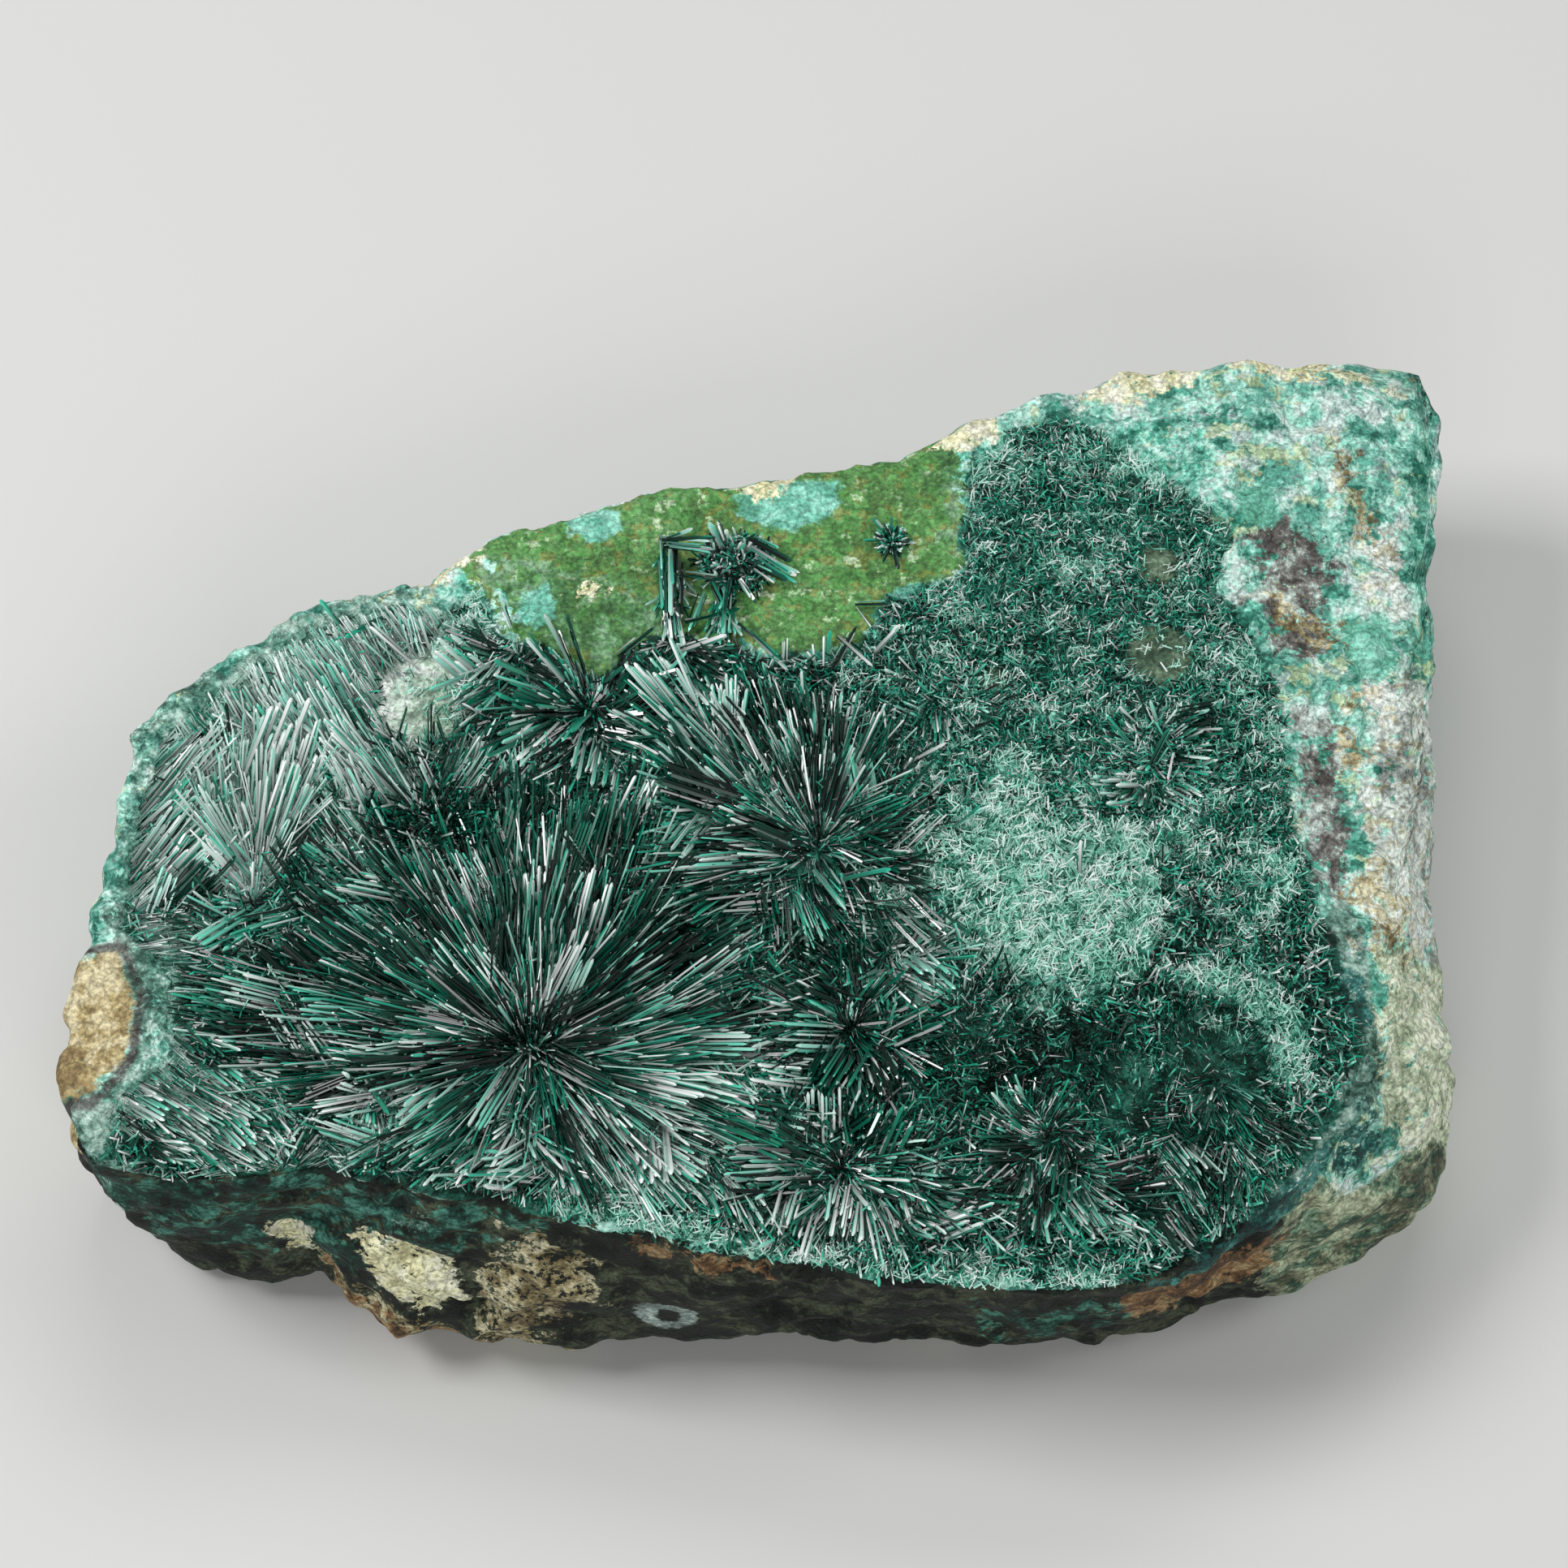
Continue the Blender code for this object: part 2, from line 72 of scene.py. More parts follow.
WALL_LEAN = np.array([
    (0, 3.0, 3.0), (20, 0.5, -1.0), (45, -1.0, -3.0), (90, -1.5, -4.0), (135, -1.5, -4.0),
    (165, -1.0, -2.0), (190, -0.5, -1.5), (199, 0.0, 0.4), (207, -1.0, -3.0),
    (215, 1.0, 2.0), (229, 4.0, 8.0), (245, 2.4, 4.4), (264, 0.8, 0.5), (285, -0.5, -2.5),
    (305, -0.8, -3.3), (318, 0.0, -0.9), (325, 2.5, 3.6), (331, 5.0, 7.4),
    (336, 6.5, 9.0), (346, 6.5, 7.6),
])
CARPET_OUTLINE = np.array([
    (-59.6, -35.6), (-57.7, -29.4), (-53.6, -26.3), (-53.8, -18.3), (-59.0, -13.4),
    (-58.4, -1.9), (-57.0, 6.4), (-50.4, 12.2), (-43.2, 17.6), (-36.9, 20.2),
    (-31.8, 19.6), (-27.6, 22.9), (-25.8, 17.9), (-20.0, 15.2), (-16.2, 12.6),
    (-11.7, 17.4), (-7.9, 17.4), (0.4, 15.2), (8.0, 15.7), (10.8, 21.8), (18.0, 24.1),
    (18.4, 35.8), (22.3, 40.0), (28.6, 41.6), (33.9, 38.5), (43.6, 29.4), (41.9, 22.3),
    (45.2, 16.1), (47.8, 8.3), (47.3, -0.2), (49.1, -8.5), (50.8, -16.7), (53.0, -24.7),
    (49.6, -31.6), (46.0, -36.9), (38.8, -43.8), (31.5, -48.0), (17.4, -48.4),
    (3.3, -46.2), (-10.9, -43.2), (-25.2, -39.4), (-39.5, -36.8), (-53.5, -38.0),
])
CARPET_SURFACE = 26.1
GROUND_DEPTH = 0.9

# Slab mesh
SLAB_ANGLES = 780
BACK_SCALES = (0.0, 0.45, 0.8, 0.97)
WALL_ROWS = 40
TOP_FINE_ROWS = 56
TOP_COARSE_ROWS = 20
TOP_FINE_FROM = 0.42

# Patches on the crystal face, as outlines seen from above
OLIVE_PATCH = [
    (-30, 24.5), (-28, 30), (-8, 37), (3.5, 40), (18.8, 44), (18.3, 24.4), (11.2, 22.4),
    (8, 16.2), (0.4, 15.6), (-4, 17), (-10.2, 17), (-16.2, 12.5), (-21, 15.4), (-26.5, 17.6),
]
GREY_OLIVE_PATCHES = [
    [(-28, 25), (-17, 25), (-9, 20), (-10, 17), (-17, 13), (-26, 18)],
    [(14.5, 38), (18.6, 40), (18.6, 30), (16.4, 27)],
    [(-36.6, 15.4), (-30.0, 17.6), (-31.5, 12), (-36.0, 11)],
]
TURQUOISE_PATCHES = [
    [(-4.4, 33.2), (1, 35), (6.2, 34.6), (5.6, 30.4), (1.5, 29.2), (-2.8, 30.2)],
    [(-20.4, 30), (-18, 32), (-14.6, 31), (-14.2, 28.8), (-17.6, 27.8)],
    [(-24.8, 19), (-24, 22.2), (-21.5, 22.6), (-20.4, 19.4), (-22.4, 17.6)],
    [(43.5, 33.5), (47, 34), (48, 30), (45, 28.6)],
    [(53.4, 20), (58, 21), (58, 14), (54, 13.6)],
]
CREAM_PATCHES = [
    [(-6, 34.6), (-5, 38), (4, 39), (4.2, 35.6), (-1.5, 32.9)],
    [(30, 43.2), (30, 50), (41.8, 50), (41.4, 45.4), (36, 43.6)],
    [(13.8, 38.4), (14, 44), (22.5, 45), (21.5, 39.8)],
    [(-37, 21.5), (-38, 26), (-28, 29), (-28.6, 25.2)],
    [(-19.2, 23.6), (-16.8, 23.8), (-16.6, 21.6), (-18.8, 21.4)],
    [(41, 50), (66, 50), (66, 46.4), (58, 46.8), (44, 46.4)],
]
POWDER_PATCHES = [
    [(-37.1, 15.2), (-29.2, 17.9), (-26.8, 12.6), (-29.5, 6.2), (-34.0, 4.5), (-37.6, 9.2)],
]
SAND_PATCHES = [
    [(-66, -16.6), (-59.2, -15.8), (-57.4, -20), (-57.8, -25.6), (-60.4, -29.6), (-66, -30)],
]
KNOB_PATCHES = [[(54.4, -14), (66, -14), (66, -30.6), (54.4, -31)]]
BROWN_PATCHES = [
    [(45, 28.6), (48.6, 30.4), (52.6, 28.8), (52.4, 16.4), (47.4, 15), (44.8, 20.6)],
    [(48.2, 9.6), (53, 8.2), (52.8, -7.6), (48.6, -8.6)],
]
LILAC_PATCHES = [
    [(55.0, 13.8), (66, 15), (66, -15), (54.0, -14.6), (54.4, -4)],
    [(56.4, 31), (59.6, 30), (59.8, 21), (56.2, 23.4)],
]
OCHRE_PATCHES = [
    [(53.8, 39), (55.2, 39), (57.4, 30), (56.0, 29.4)],
    [(45.6, 23), (48, 23.4), (53.6, 19.6), (53.0, 16.4), (47.4, 18.6)],
    [(53.6, -6.4), (55.4, -5.4), (59, -15.4), (57, -16), (54.0, -12.4)],
    [(53.4, 12.4), (54.8, 12.4), (54.6, 4.4), (53.4, 4.8)],
]
MINT_PATCHES = [
    [(14.6, -2.7), (20.6, 2.0), (33.2, 0.0), (38.9, -6.9), (37.6, -15.1), (32.4, -20.7),
     (25.1, -21.5), (20.9, -16.7), (14.4, -12.6), (11.0, -8.5)],
    [(-30.2, 24.1), (-27.1, 22.3), (-26.8, 12.6), (-29.7, 10.9), (-31.1, 17.9)],
    [(42.1, 31.2), (46.7, 29.4), (46.9, 18.8), (45.7, 10.9), (48.6, 8.3), (47.4, 1.5),
     (44.5, 8.3), (43.6, 18.8)],
    [(44.9, -5.2), (48.5, -6.9), (47.4, -11.8), (43.1, -11.0)],
]
MINT_LUMPS = [
    [(35.0, -17.0), (38.4, -16.4), (43.6, -18.2), (46.8, -22.4), (47.4, -28.0),
     (45.4, -28.2), (44.4, -23.8), (42.0, -20.9), (37.0, -19.4)],
    [(33.2, 40.4), (40.3, 42.2), (41.6, 36.7), (39.1, 33.1), (34.5, 34.0), (30.7, 36.7)],
    [(18.4, 38.5), (22.6, 39.5), (24.0, 35.5), (19, 34.5)],
    [(-18.7, -40.7), (-13.7, -40.0), (-5.2, -42.4), (0.5, -44.6), (0.5, -47.1),
     (-7.3, -45.2), (-17.9, -43.0)],
    [(0.5, -44.5), (10.3, -46.2), (24.4, -47.2), (30.0, -46.2), (30.0, -49),
     (20.8, -50), (10.3, -50), (0.5, -49)],
]
MOSS_PATCHES = [
    [(-60.9, -10.6), (-56.1, -11.0), (-55.0, -13.4), (-54.9, -21.5), (-55.3, -28.7),
     (-56.9, -26.3), (-59.5, -16.7)],
    [(-63.8, -28.7), (-57.1, -27.9), (-54.6, -34.1), (-47.9, -37.0), (-38.0, -37.2),
     (-29.3, -39.1), (-29.2, -42.6), (-44.3, -39.0), (-62.1, -38.0)],
    [(46.5, -12), (53, -10), (56, -28), (48, -36), (40, -44), (38, -42), (45, -35),
     (48.5, -27)],
    [(-62, 6), (-46.3, 18), (-38, 22.4), (-33, 24.5), (-33, 22), (-46.8, 15), (-58.8, 5)],
]

TEAL_PATCHES = [
    [(35, -45.4), (40, -43.4), (47.0, -36.4), (52.4, -30.2), (54.8, -31.6), (49, -39),
     (42, -46.5), (36, -47.4)],
    [(50.6, -17.4), (53.4, -18.4), (53.2, -22), (50.6, -21)],
]
FRONT_BAND = [
    (-68, -33.4), (-57, -33.8), (-40, -34.8), (-25, -37.2), (-10.9, -41.0), (3.3, -44.0),
    (17.4, -46.2), (31.5, -45.8), (38, -42.6), (44, -38), (52, -42), (40, -60), (-68, -60),
]

# Patches on the near wall, as outlines in x and z
WALL_CREAM = [
    [(-44.6, 14.6), (-42.6, 15.4), (-40.4, 12.4), (-42.4, 9.8), (-45, 11)],
    [(-37.8, 18), (-32.4, 18.6), (-28, 15.4), (-27.4, 10.6), (-31.6, 9.8), (-35.4, 12.6)],
    [(-25.6, 4.2), (-17, 3.6), (-16.6, 1.2), (-26, 1)],
]
WALL_OCHRE = [
    [(-24.4, 21.6), (-15.6, 20.4), (-16.6, 15), (-21, 9.4), (-22.4, 4), (-16.4, 3.2),
     (-17.8, 0.6), (-30, 0.6), (-26.4, 8), (-25.8, 15)],
    [(-40.6, 9.8), (-35.6, 9.8), (-29.4, 5.6), (-27, 1), (-36, 1), (-41, 5.8)],
    [(10, 3.4), (17, 3.6), (17, 0.8), (9, 0.8)],
]
WALL_RUST = [
    [(30.4, 22.4), (38.6, 22.8), (45.0, 18.6), (44.6, 11.2), (36.4, 10.0), (30.6, 14.0)],
    [(-40.6, 8.6), (-35.6, 7.8), (-29.4, 4.6), (-28, 1), (-36, 1), (-41, 4)],
    [(-12, 24.8), (0, 24.4), (0, 22.8), (-10, 22.6)],
]
WALL_MALACHITE = [
    [(-60, 27), (-42, 27), (-24, 27), (-20, 22), (-33, 16), (-38, 10), (-56, 10), (-66, 20)],
    [(18, 20), (34, 22), (34, 12), (20, 9)],
]
WALL_TEAL = [[(33, 24.6), (38, 25.6), (50, 26), (50, 22.6), (41, 22.0), (34, 23)]]
WALL_RING_CENTRE = (-9.6, 11.6)
WALL_RING_SIZE = (2.8, 2.6)
RIGHT_SIDE_FROM = 44.0

# Sprays: x, y, crystal length, crystal width, tilt, paleness, then reach by bearing;
# paleness gives pale crystals, partly real pale ones and partly painted white glints
SPRAYS = [
    (-21.6, -25.5, 5.5, 0.36, 6, 0.20,
     ((0, 24.9), (33, 24.5), (63, 27.2), (92, 30), (119, 32.5), (148, 30.6), (171, 32.2),
      (191, 30.8), (207, 23.7), (221, 16.1), (243, 14.3), (272, 15.6), (299, 17.3),
      (323, 22.3), (344, 25.4))),
    (4.2, -5.6, 4.6, 0.36, 8, 0.22,
     ((0, 9.6), (33, 10.8), (63, 13.6), (90, 14.4), (112, 20), (132, 23.2), (147, 11.5),
      (163, 9.7), (180, 15.9), (202, 17.2), (228, 10.2), (252, 9.8), (270, 10.7),
      (297, 12), (317, 13.1), (338, 9))),
    (-0.7, -0.6, 6.0, 0.50, 9, 0.45,
     ((0, 1.5), (53, 1.6), (95, 5.1), (113, 12.5), (127, 18.8), (142, 17.3), (158, 11.4),
      (174, 9.3), (191, 8.9), (208, 6.8), (229, 2.4), (270, 1.7))),
    (-30.4, -1.9, 3.0, 0.42, 52, 0.02,
     ((0, 6.3), (65, 6.5), (101, 9.4), (128, 10.7), (203, 8.2), (263, 6.2), (318, 6.4))),
    (-17.2, 9.0, 4.2, 0.55, 12, 0.12,
     ((0, 8.3), (50, 10.1), (91, 9.1), (132, 10.7), (180, 9.4), (230, 7.9), (271, 6),
      (312, 7.3))),
    (-47.1, -11.6, 5.4, 0.42, 8, 0.74,
     ((55, 2.3), (71, 16.1), (82, 19.4), (98, 20.7), (113, 19.8), (123, 16.6), (134, 3.2),
      (203, 1.8), (273, 1.6), (338, 1.9))),
    (-43.3, -36.6, 3.2, 0.24, 12, 0.55,
     ((0, 6.4), (49, 7.6), (93, 7.4), (134, 8.1), (180, 7.1), (229, 2.2), (273, 1.9),
      (314, 2.3))),
    (-34.0, -29.8, 3.6, 0.62, 16, 0.55, ((0, 5), (92, 4.7), (180, 5.7), (272, 4.7))),
    (-22.5, -31.9, 4.4, 0.52, 12, 0.60,
     ((92, 1.2), (202, 2.9), (233, 8.9), (258, 8), (285, 7.7), (309, 9.1), (328, 3))),
    (-11.2, -30.4, 4.6, 0.55, 12, 0.85,
     ((91, 1.2), (202, 1.8), (243, 4.6), (263, 8.1), (285, 8.5), (303, 6.1), (328, 3))),
    (7.3, -23.3, 4.0, 0.46, 12, 0.22,
     ((0, 6.9), (47, 7.7), (90, 8), (132, 8.4), (180, 9.4), (217, 11.2), (242, 10.8),
      (262, 10.6), (283, 7.4), (317, 6.7))),
    (5.8, -36.8, 4.0, 0.48, 10, 0.28,
     ((0, 8.5), (47, 7.5), (90, 6.2), (133, 7.1), (180, 8.5), (207, 9), (242, 8.6),
      (270, 8.4), (298, 9), (328, 9.4))),
    (-6.1, -35.1, 4.0, 0.42, 12, 0.62,
     ((0, 1.4), (90, 1.2), (202, 1.4), (270, 3.1), (298, 9.8), (313, 10.4), (328, 6.6))),
    (4.9, -40.9, 3.6, 0.30, 14, 0.66,
     ((0, 1.1), (90, 1.1), (180, 1.1), (251, 5.3), (270, 5.7), (288, 5.3))),
    (17.3, -22.3, 2.6, 0.30, 44, 0.30,
     ((0, 5.4), (89, 6.8), (107, 7.5), (137, 6), (180, 5.1), (255, 6.7), (283, 6.3),
      (317, 5.2))),
    (12.0, -36.6, 4.0, 0.36, 10, 0.50,
     ((89, 1.2), (180, 1.1), (241, 2.3), (297, 6), (317, 8.7), (333, 7.9), (349, 2.8))),
    (24.1, -33.5, 3.8, 0.38, 12, 0.40,
     ((0, 4.3), (47, 4.2), (88, 4.3), (132, 4.4), (180, 5.7), (217, 8.5), (245, 8.8),
      (268, 8.1), (297, 8.2), (327, 5.8))),
    (26.3, -36.3, 4.4, 0.40, 9, 0.40,
     ((32, 2.2), (88, 1.5), (180, 1.4), (268, 3.1), (307, 8.8), (322, 11.8), (338, 11.3),
      (355, 6.4))),
    (39.4, -26.3, 1.8, 0.20, 50, 0.10,
     ((0, 5.8), (60, 6), (116, 6.1), (180, 6.1), (240, 6.7), (296, 7.2))),
    (39.3, -28.7, 3.0, 0.30, 14, 0.38,
     ((0, 1.4), (87, 1.2), (180, 6.8), (226, 9.6), (254, 11.7), (267, 12.8), (286, 12.1),
      (311, 9.5), (338, 7.1))),
    (32.1, -28.7, 2.0, 0.22, 48, 0.20,
     ((0, 4.3), (88, 4.4), (180, 4.3), (231, 6.5), (268, 6.2))),
    (35.3, 4.5, 2.8, 0.44, 18, 0.45,
     ((0, 4.5), (47, 5.8), (88, 5.1), (130, 5.5), (180, 4.5), (227, 5.7), (268, 5.1),
      (310, 4.7))),
    (-10.2, 17.0, 4.0, 0.48, 10, 0.25,
     ((0, 4.6), (64, 4.2), (117, 5.1), (180, 5.3), (244, 5), (297, 7.6), (327, 10.3))),
    (-23.8, 15.2, 4.2, 0.46, 12, 0.28,
     ((0, 5.3), (55, 4.1), (100, 3.5), (132, 5), (203, 6.1), (263, 7.7), (307, 7.5))),
    (-3.5, -21.5, 3.2, 0.40, 16, 0.25, ((0, 2.9), (90, 3.2), (180, 2.2), (270, 3.2))),
    (17.1, 12.6, 2.8, 0.38, 20, 0.25,
     ((0, 4.5), (89, 4.4), (180, 5.3), (251, 6.8), (296, 5.8))),
    (10.0, -15.5, 3.8, 0.42, 12, 0.60,
     ((0, 6.6), (43, 4.6), (89, 2.4), (202, 3.7), (269, 6.4), (297, 8.6), (317, 9.1))),
]
# Parallel bundles: bearing, crystal length, crystal width, tilt, paleness, then outline;
# paleness gives pale crystals, partly real pale ones and partly painted white glints
BUNDLES = [
    (46, 4.6, 0.42, 8, 0.55,
     ((-59.3, 7.9), (-51.9, 6.2), (-52.2, -2.7), (-49.5, -9.8), (-56.1, -11.0),
      (-60.2, -10.2), (-59.8, -0.2))),
    (122, 4.4, 0.34, 9, 0.72,
     ((-59.3, 7.9), (-47.3, 16.1), (-40.0, 21.0), (-33.2, 22.1), (-30, 18.8), (-36.9, 14.0),
      (-36.5, 5.0), (-31.4, 1.5), (-35.3, -0.6), (-38.2, -0.6), (-41.4, 4.0), (-46.9, 7.5),
      (-51.9, 6.2))),
    (-62, 3.2, 0.30, 12, 0.45, ((33.7, -34.1), (39.0, -34.5), (38.8, -40.3), (34.5, -41.8))),
    (-3, 2.2, 0.22, 12, 0.60,
     ((-58, -11.4), (-54, -11.6), (-51.5, -14), (-52, -27), (-54.9, -28), (-55.6, -20))),
    (60, 3.4, 0.30, 12, 0.55, ((-31.5, 4.5), (-26, 8), (-24, 2), (-28, -1))),
    (-38, 3.0, 0.34, 16, 0.45,
     ((-57.5, -24.5), (-51, -23.5), (-44.5, -28), (-44, -34.5), (-52, -36.4), (-58, -33))),
]
# Dome under each spray, as the solids have it: x, y, reach
CAD_DOMES = [
    (-21.6, -25.5, 23.0), (3.8, -5.2, 16.0), (-0.7, -0.6, 13.0), (-30.4, -1.9, 8.0),
    (-17.2, 9.0, 8.5), (-46.0, -11.0, 16.0), (-51.3, -29.4, 6.5), (-37.5, -30.2, 6.5),
    (7.0, -22.3, 9.0), (5.8, -36.8, 9.0), (17.3, -23.0, 5.0), (23.3, -33.7, 7.0),
    (39.4, -27.9, 8.5), (41.0, -36.2, 5.0), (34.9, 4.9, 6.0), (9.5, 10.0, 6.0),
]
# Places where the crystals are paler, partly real pale crystals and partly painted white
# glints, or darker where the amount is below nought: x, y, radius and amount
PALE_AND_GLINT_SPOTS = [
    (-8.0, -30.5, 7.0, 0.55), (-50.5, -31.5, 7.5, 0.30), (-57.0, -12.0, 4.0, 0.80),
    (14.0, -16.5, 5.5, 0.35), (-5.0, -2.5, 5.0, 0.25), (6.0, -43.0, 6.0, 0.30),
    (-14.0, -39.5, 6.0, 0.50), (46.0, 0.0, 6.0, 0.40), (26.0, -43.0, 6.0, 0.30),
    (-44.0, 12.0, 13.0, 1.25), (-49.0, -2.0, 9.0, 0.50), (-36.0, -37.0, 9.0, 0.30),
    (24.0, -34.0, 8.0, -0.25), (6.0, -36.0, 6.0, -0.20), (37.0, -32.0, 7.0, -0.20),
    (7.0, -22.0, 6.0, -0.20),
]
# Hollows where the crystals are darkened as painted shade: x, y and radius
SHADED_HOLLOWS = [
    (19.0, -25.5, 5.5), (42.0, -24.0, 3.8), (28.0, -24.0, 5.0), (6.5, -18.5, 4.0),
]
DRUSE_FIELD = [
    (18.3, 36.4), (26.3, 42.4), (33.8, 36.2), (40.7, 34.3), (44.4, 28.8), (41.8, 22.6),
    (44.5, 15.5), (47.4, 8.6), (47.6, -6), (49, -12), (42, -19), (38.8, -8), (33.5, -1.0),
    (20, 1.6), (13, 1.6), (8.0, 8.3), (6.4, 15.2), (11.9, 22.6), (18.1, 24.4),
]
BALD_SPOTS = [(36.5, 25.3, 1.9), (36.1, 15.5, 3.0), (20.5, 12.9, 1.4), (-33.6, 14.2, 2.4)]

# Long prisms of the arched cluster and loose ones: x, y, bearing, length, width, rise, tilt
ARCH_PRISMS = [
    (-10.4, 26.6, 272, 7.4, 0.55, 2.6, -6), (-9.8, 26.8, 271, 7.8, 0.60, 2.9, -7),
    (-9.2, 26.4, 268, 7.0, 0.55, 2.5, -5), (-8.7, 24.4, 270, 5.4, 0.50, 2.0, -6),
    (-10.9, 24.6, 274, 4.6, 0.45, 1.9, -6), (-10.2, 21.8, 276, 5.0, 0.50, 1.6, -8),
    (-9.6, 21.2, 282, 5.2, 0.50, 1.5, -6), (-10.9, 26.4, 356, 4.4, 0.66, 3.1, 2),
    (-10.6, 26.0, 2, 4.6, 0.60, 3.3, 3), (-10.4, 25.6, 352, 4.4, 0.56, 3.0, 2),
    (-10.6, 25.9, 24, 2.8, 0.50, 3.2, 6), (-8.6, 23.2, 352, 3.4, 0.60, 1.8, 2),
    (-5.0, 25.4, 118, 2.2, 0.60, 3.4, 14), (-4.6, 25.6, 108, 2.0, 0.55, 3.4, 18),
    (-2.4, 26.4, 330, 4.2, 0.58, 3.4, -6),
    (-2.2, 25.6, 328, 4.6, 0.62, 2.9, -8), (-2.6, 24.4, 334, 3.8, 0.62, 2.4, -6),
    (-1.8, 25.0, 325, 4.4, 0.50, 2.2, -4), (-4.2, 22.6, 262, 4.8, 0.55, 2.2, -9),
    (-4.6, 21.8, 268, 4.6, 0.50, 1.9, -7), (-5.8, 22.4, 295, 3.4, 0.50, 2.0, -6),
    (-6.6, 21.6, 250, 4.0, 0.45, 1.5, -6), (-3.2, 22.4, 300, 2.6, 0.50, 2.4, -2),
]
LOOSE_PRISMS = [
    (7.6, 20.6, 358, 3.0, 0.50, 0.5, 5), (8.0, 19.8, 300, 2.8, 0.42, 0.6, 4),
    (6.0, 17.0, 312, 4.4, 0.50, 0.8, 5), (5.4, 13.6, 62, 4.6, 0.50, 0.9, 6),
    (4.8, 13.6, 84, 3.6, 0.46, 0.7, 10), (9.4, 15.4, 50, 3.4, 0.46, 0.9, 6),
    (11.6, 17.4, 8, 2.4, 0.44, 0.8, 5), (0.8, 13.8, 88, 2.4, 0.40, 0.6, 18),
    (-14.6, 14.6, 40, 4.2, 0.50, 0.9, 8), (-8.4, 18.4, 14, 5.0, 0.55, 1.2, 4),
    (-9.0, 15.2, 20, 4.4, 0.60, 1.2, 5), (-3.4, 18.2, 318, 5.2, 0.60, 1.3, -2),
    (-2.6, 17.6, 312, 5.4, 0.55, 1.2, -2), (-18.4, 12.6, 118, 6.4, 0.62, 1.0, 10),
    (-17.6, 12.8, 108, 5.6, 0.58, 1.0, 14), (-19.6, 12.0, 130, 5.2, 0.55, 0.9, 8),
    (-26.4, 15.6, 122, 3.6, 0.46, 0.8, 12), (-24.6, 17.4, 110, 3.4, 0.46, 0.7, 14),
    (-40.6, 18.2, 128, 3.2, 0.44, 0.9, 8), (-36.8, 19.2, 215, 3.8, 0.50, 0.8, 6),
    (6.2, -9.4, 12, 4.0, 0.62, 2.0, 2), (3.6, -8.4, 305, 4.4, 0.55, 1.7, 2),
    (-36.6, -28.0, 302, 4.6, 0.60, 1.2, 6), (-30.6, -31.8, 62, 4.2, 0.62, 1.2, 6),
    (-35.0, -31.6, 24, 3.6, 0.50, 1.0, 8), (27.8, -8.0, 88, 2.6, 0.46, 1.2, 24),
    (16.2, -3.6, 40, 3.2, 0.44, 0.9, 8), (12.4, 3.4, 28, 3.6, 0.50, 1.0, 6),
    (34.6, 3.2, 62, 3.6, 0.50, 1.0, 12), (36.8, 4.4, 118, 3.2, 0.46, 1.0, 12),
    (33.0, 5.4, 130, 3.4, 0.42, 1.0, 10), (36.2, 1.8, 76, 2.8, 0.44, 0.9, 14),
    (20.2, 9.4, 4, 3.2, 0.24, 0.7, 4), (23.6, 13.6, 150, 2.4, 0.20, 0.7, 6),
]

ARCH_CENTRE = (-3.6, 24.6)
ROSETTE_CENTRE = (11.2, 27.6)
SEAT_FLOOR = 24.6

FLOOR_TONE = (0.72, 0.72, 0.70)
FLOOR_HALF = 900.0


# Noise on whole arrays of points

def hashed(cell, seed):
    """A pseudo-random whole number for each cell: coordinates times large primes, xor-ed
    together and mixed by shifts and products."""
    cell = cell.astype(np.uint64)
    primes = (np.uint64(73856093), np.uint64(19349663), np.uint64(83492791))
    code = np.full(cell.shape[:-1], seed * 2654435761 + 97, np.uint64)
    for axis in range(3):
        code ^= cell[..., axis] * primes[axis]
    mask = np.uint64(0xFFFFFFFF)
    code &= mask
    code = ((code ^ (code >> np.uint64(15))) * np.uint64(2246822519)) & mask
    code = ((code ^ (code >> np.uint64(13))) * np.uint64(3266489917)) & mask
    return code ^ (code >> np.uint64(16))


def three_parts(code):
    """Three numbers from 0 to 1 out of each hashed code, from its ten-bit parts."""
    ten = np.uint64(1023)
    shifts = (np.uint64(0), np.uint64(10), np.uint64(20))
    return np.stack([((code >> shift) & ten).astype(float) / 1023.0 for shift in shifts], -1)


def wave(points, scale, seed=0):
    """Gradient noise, about -1 to 1: every corner of a unit cell has a hashed slope, and the
    eight ramps are blended by a quintic fade."""
    places = points * scale
    cell = np.floor(places).astype(np.int64)
    part = places - cell
    fade = part**3 * (part * (part * 6.0 - 15.0) + 10.0)
    total = np.zeros(points.shape[:-1])
    for corner in product((0, 1), repeat=3):
        step = np.array(corner)
        slope = three_parts(hashed(cell + step, seed)) * 2.0 - 1.0
        pull = ((part - step) * slope).sum(-1)
        total += pull * np.where(step == 1, fade, 1.0 - fade).prod(-1)
    return total * 1.25


def fractal(points, scale, octaves=4, seed=0, falloff=0.5):
    """Sum of waves, each twice as fine and falloff times as strong as the one before."""
    total = np.zeros(points.shape[:-1])
    share = 1.0
    for octave in range(octaves):
        total += share * wave(points, scale * 2.0**octave, seed + octave * 31)
        share *= falloff
    return total


def ridged(points, scale, octaves=4, seed=0):
    """Creased relief from 0 to 1: one minus the size of each wave, squared and summed."""
    total = np.zeros(points.shape[:-1])
    share = 0.5
    for octave in range(octaves):
        crease = 1.0 - np.abs(wave(points, scale * 2.1**octave, seed + octave * 17))
        total += share * crease.clip(0.0, 1.0) ** 2
        share *= 0.5
    return total


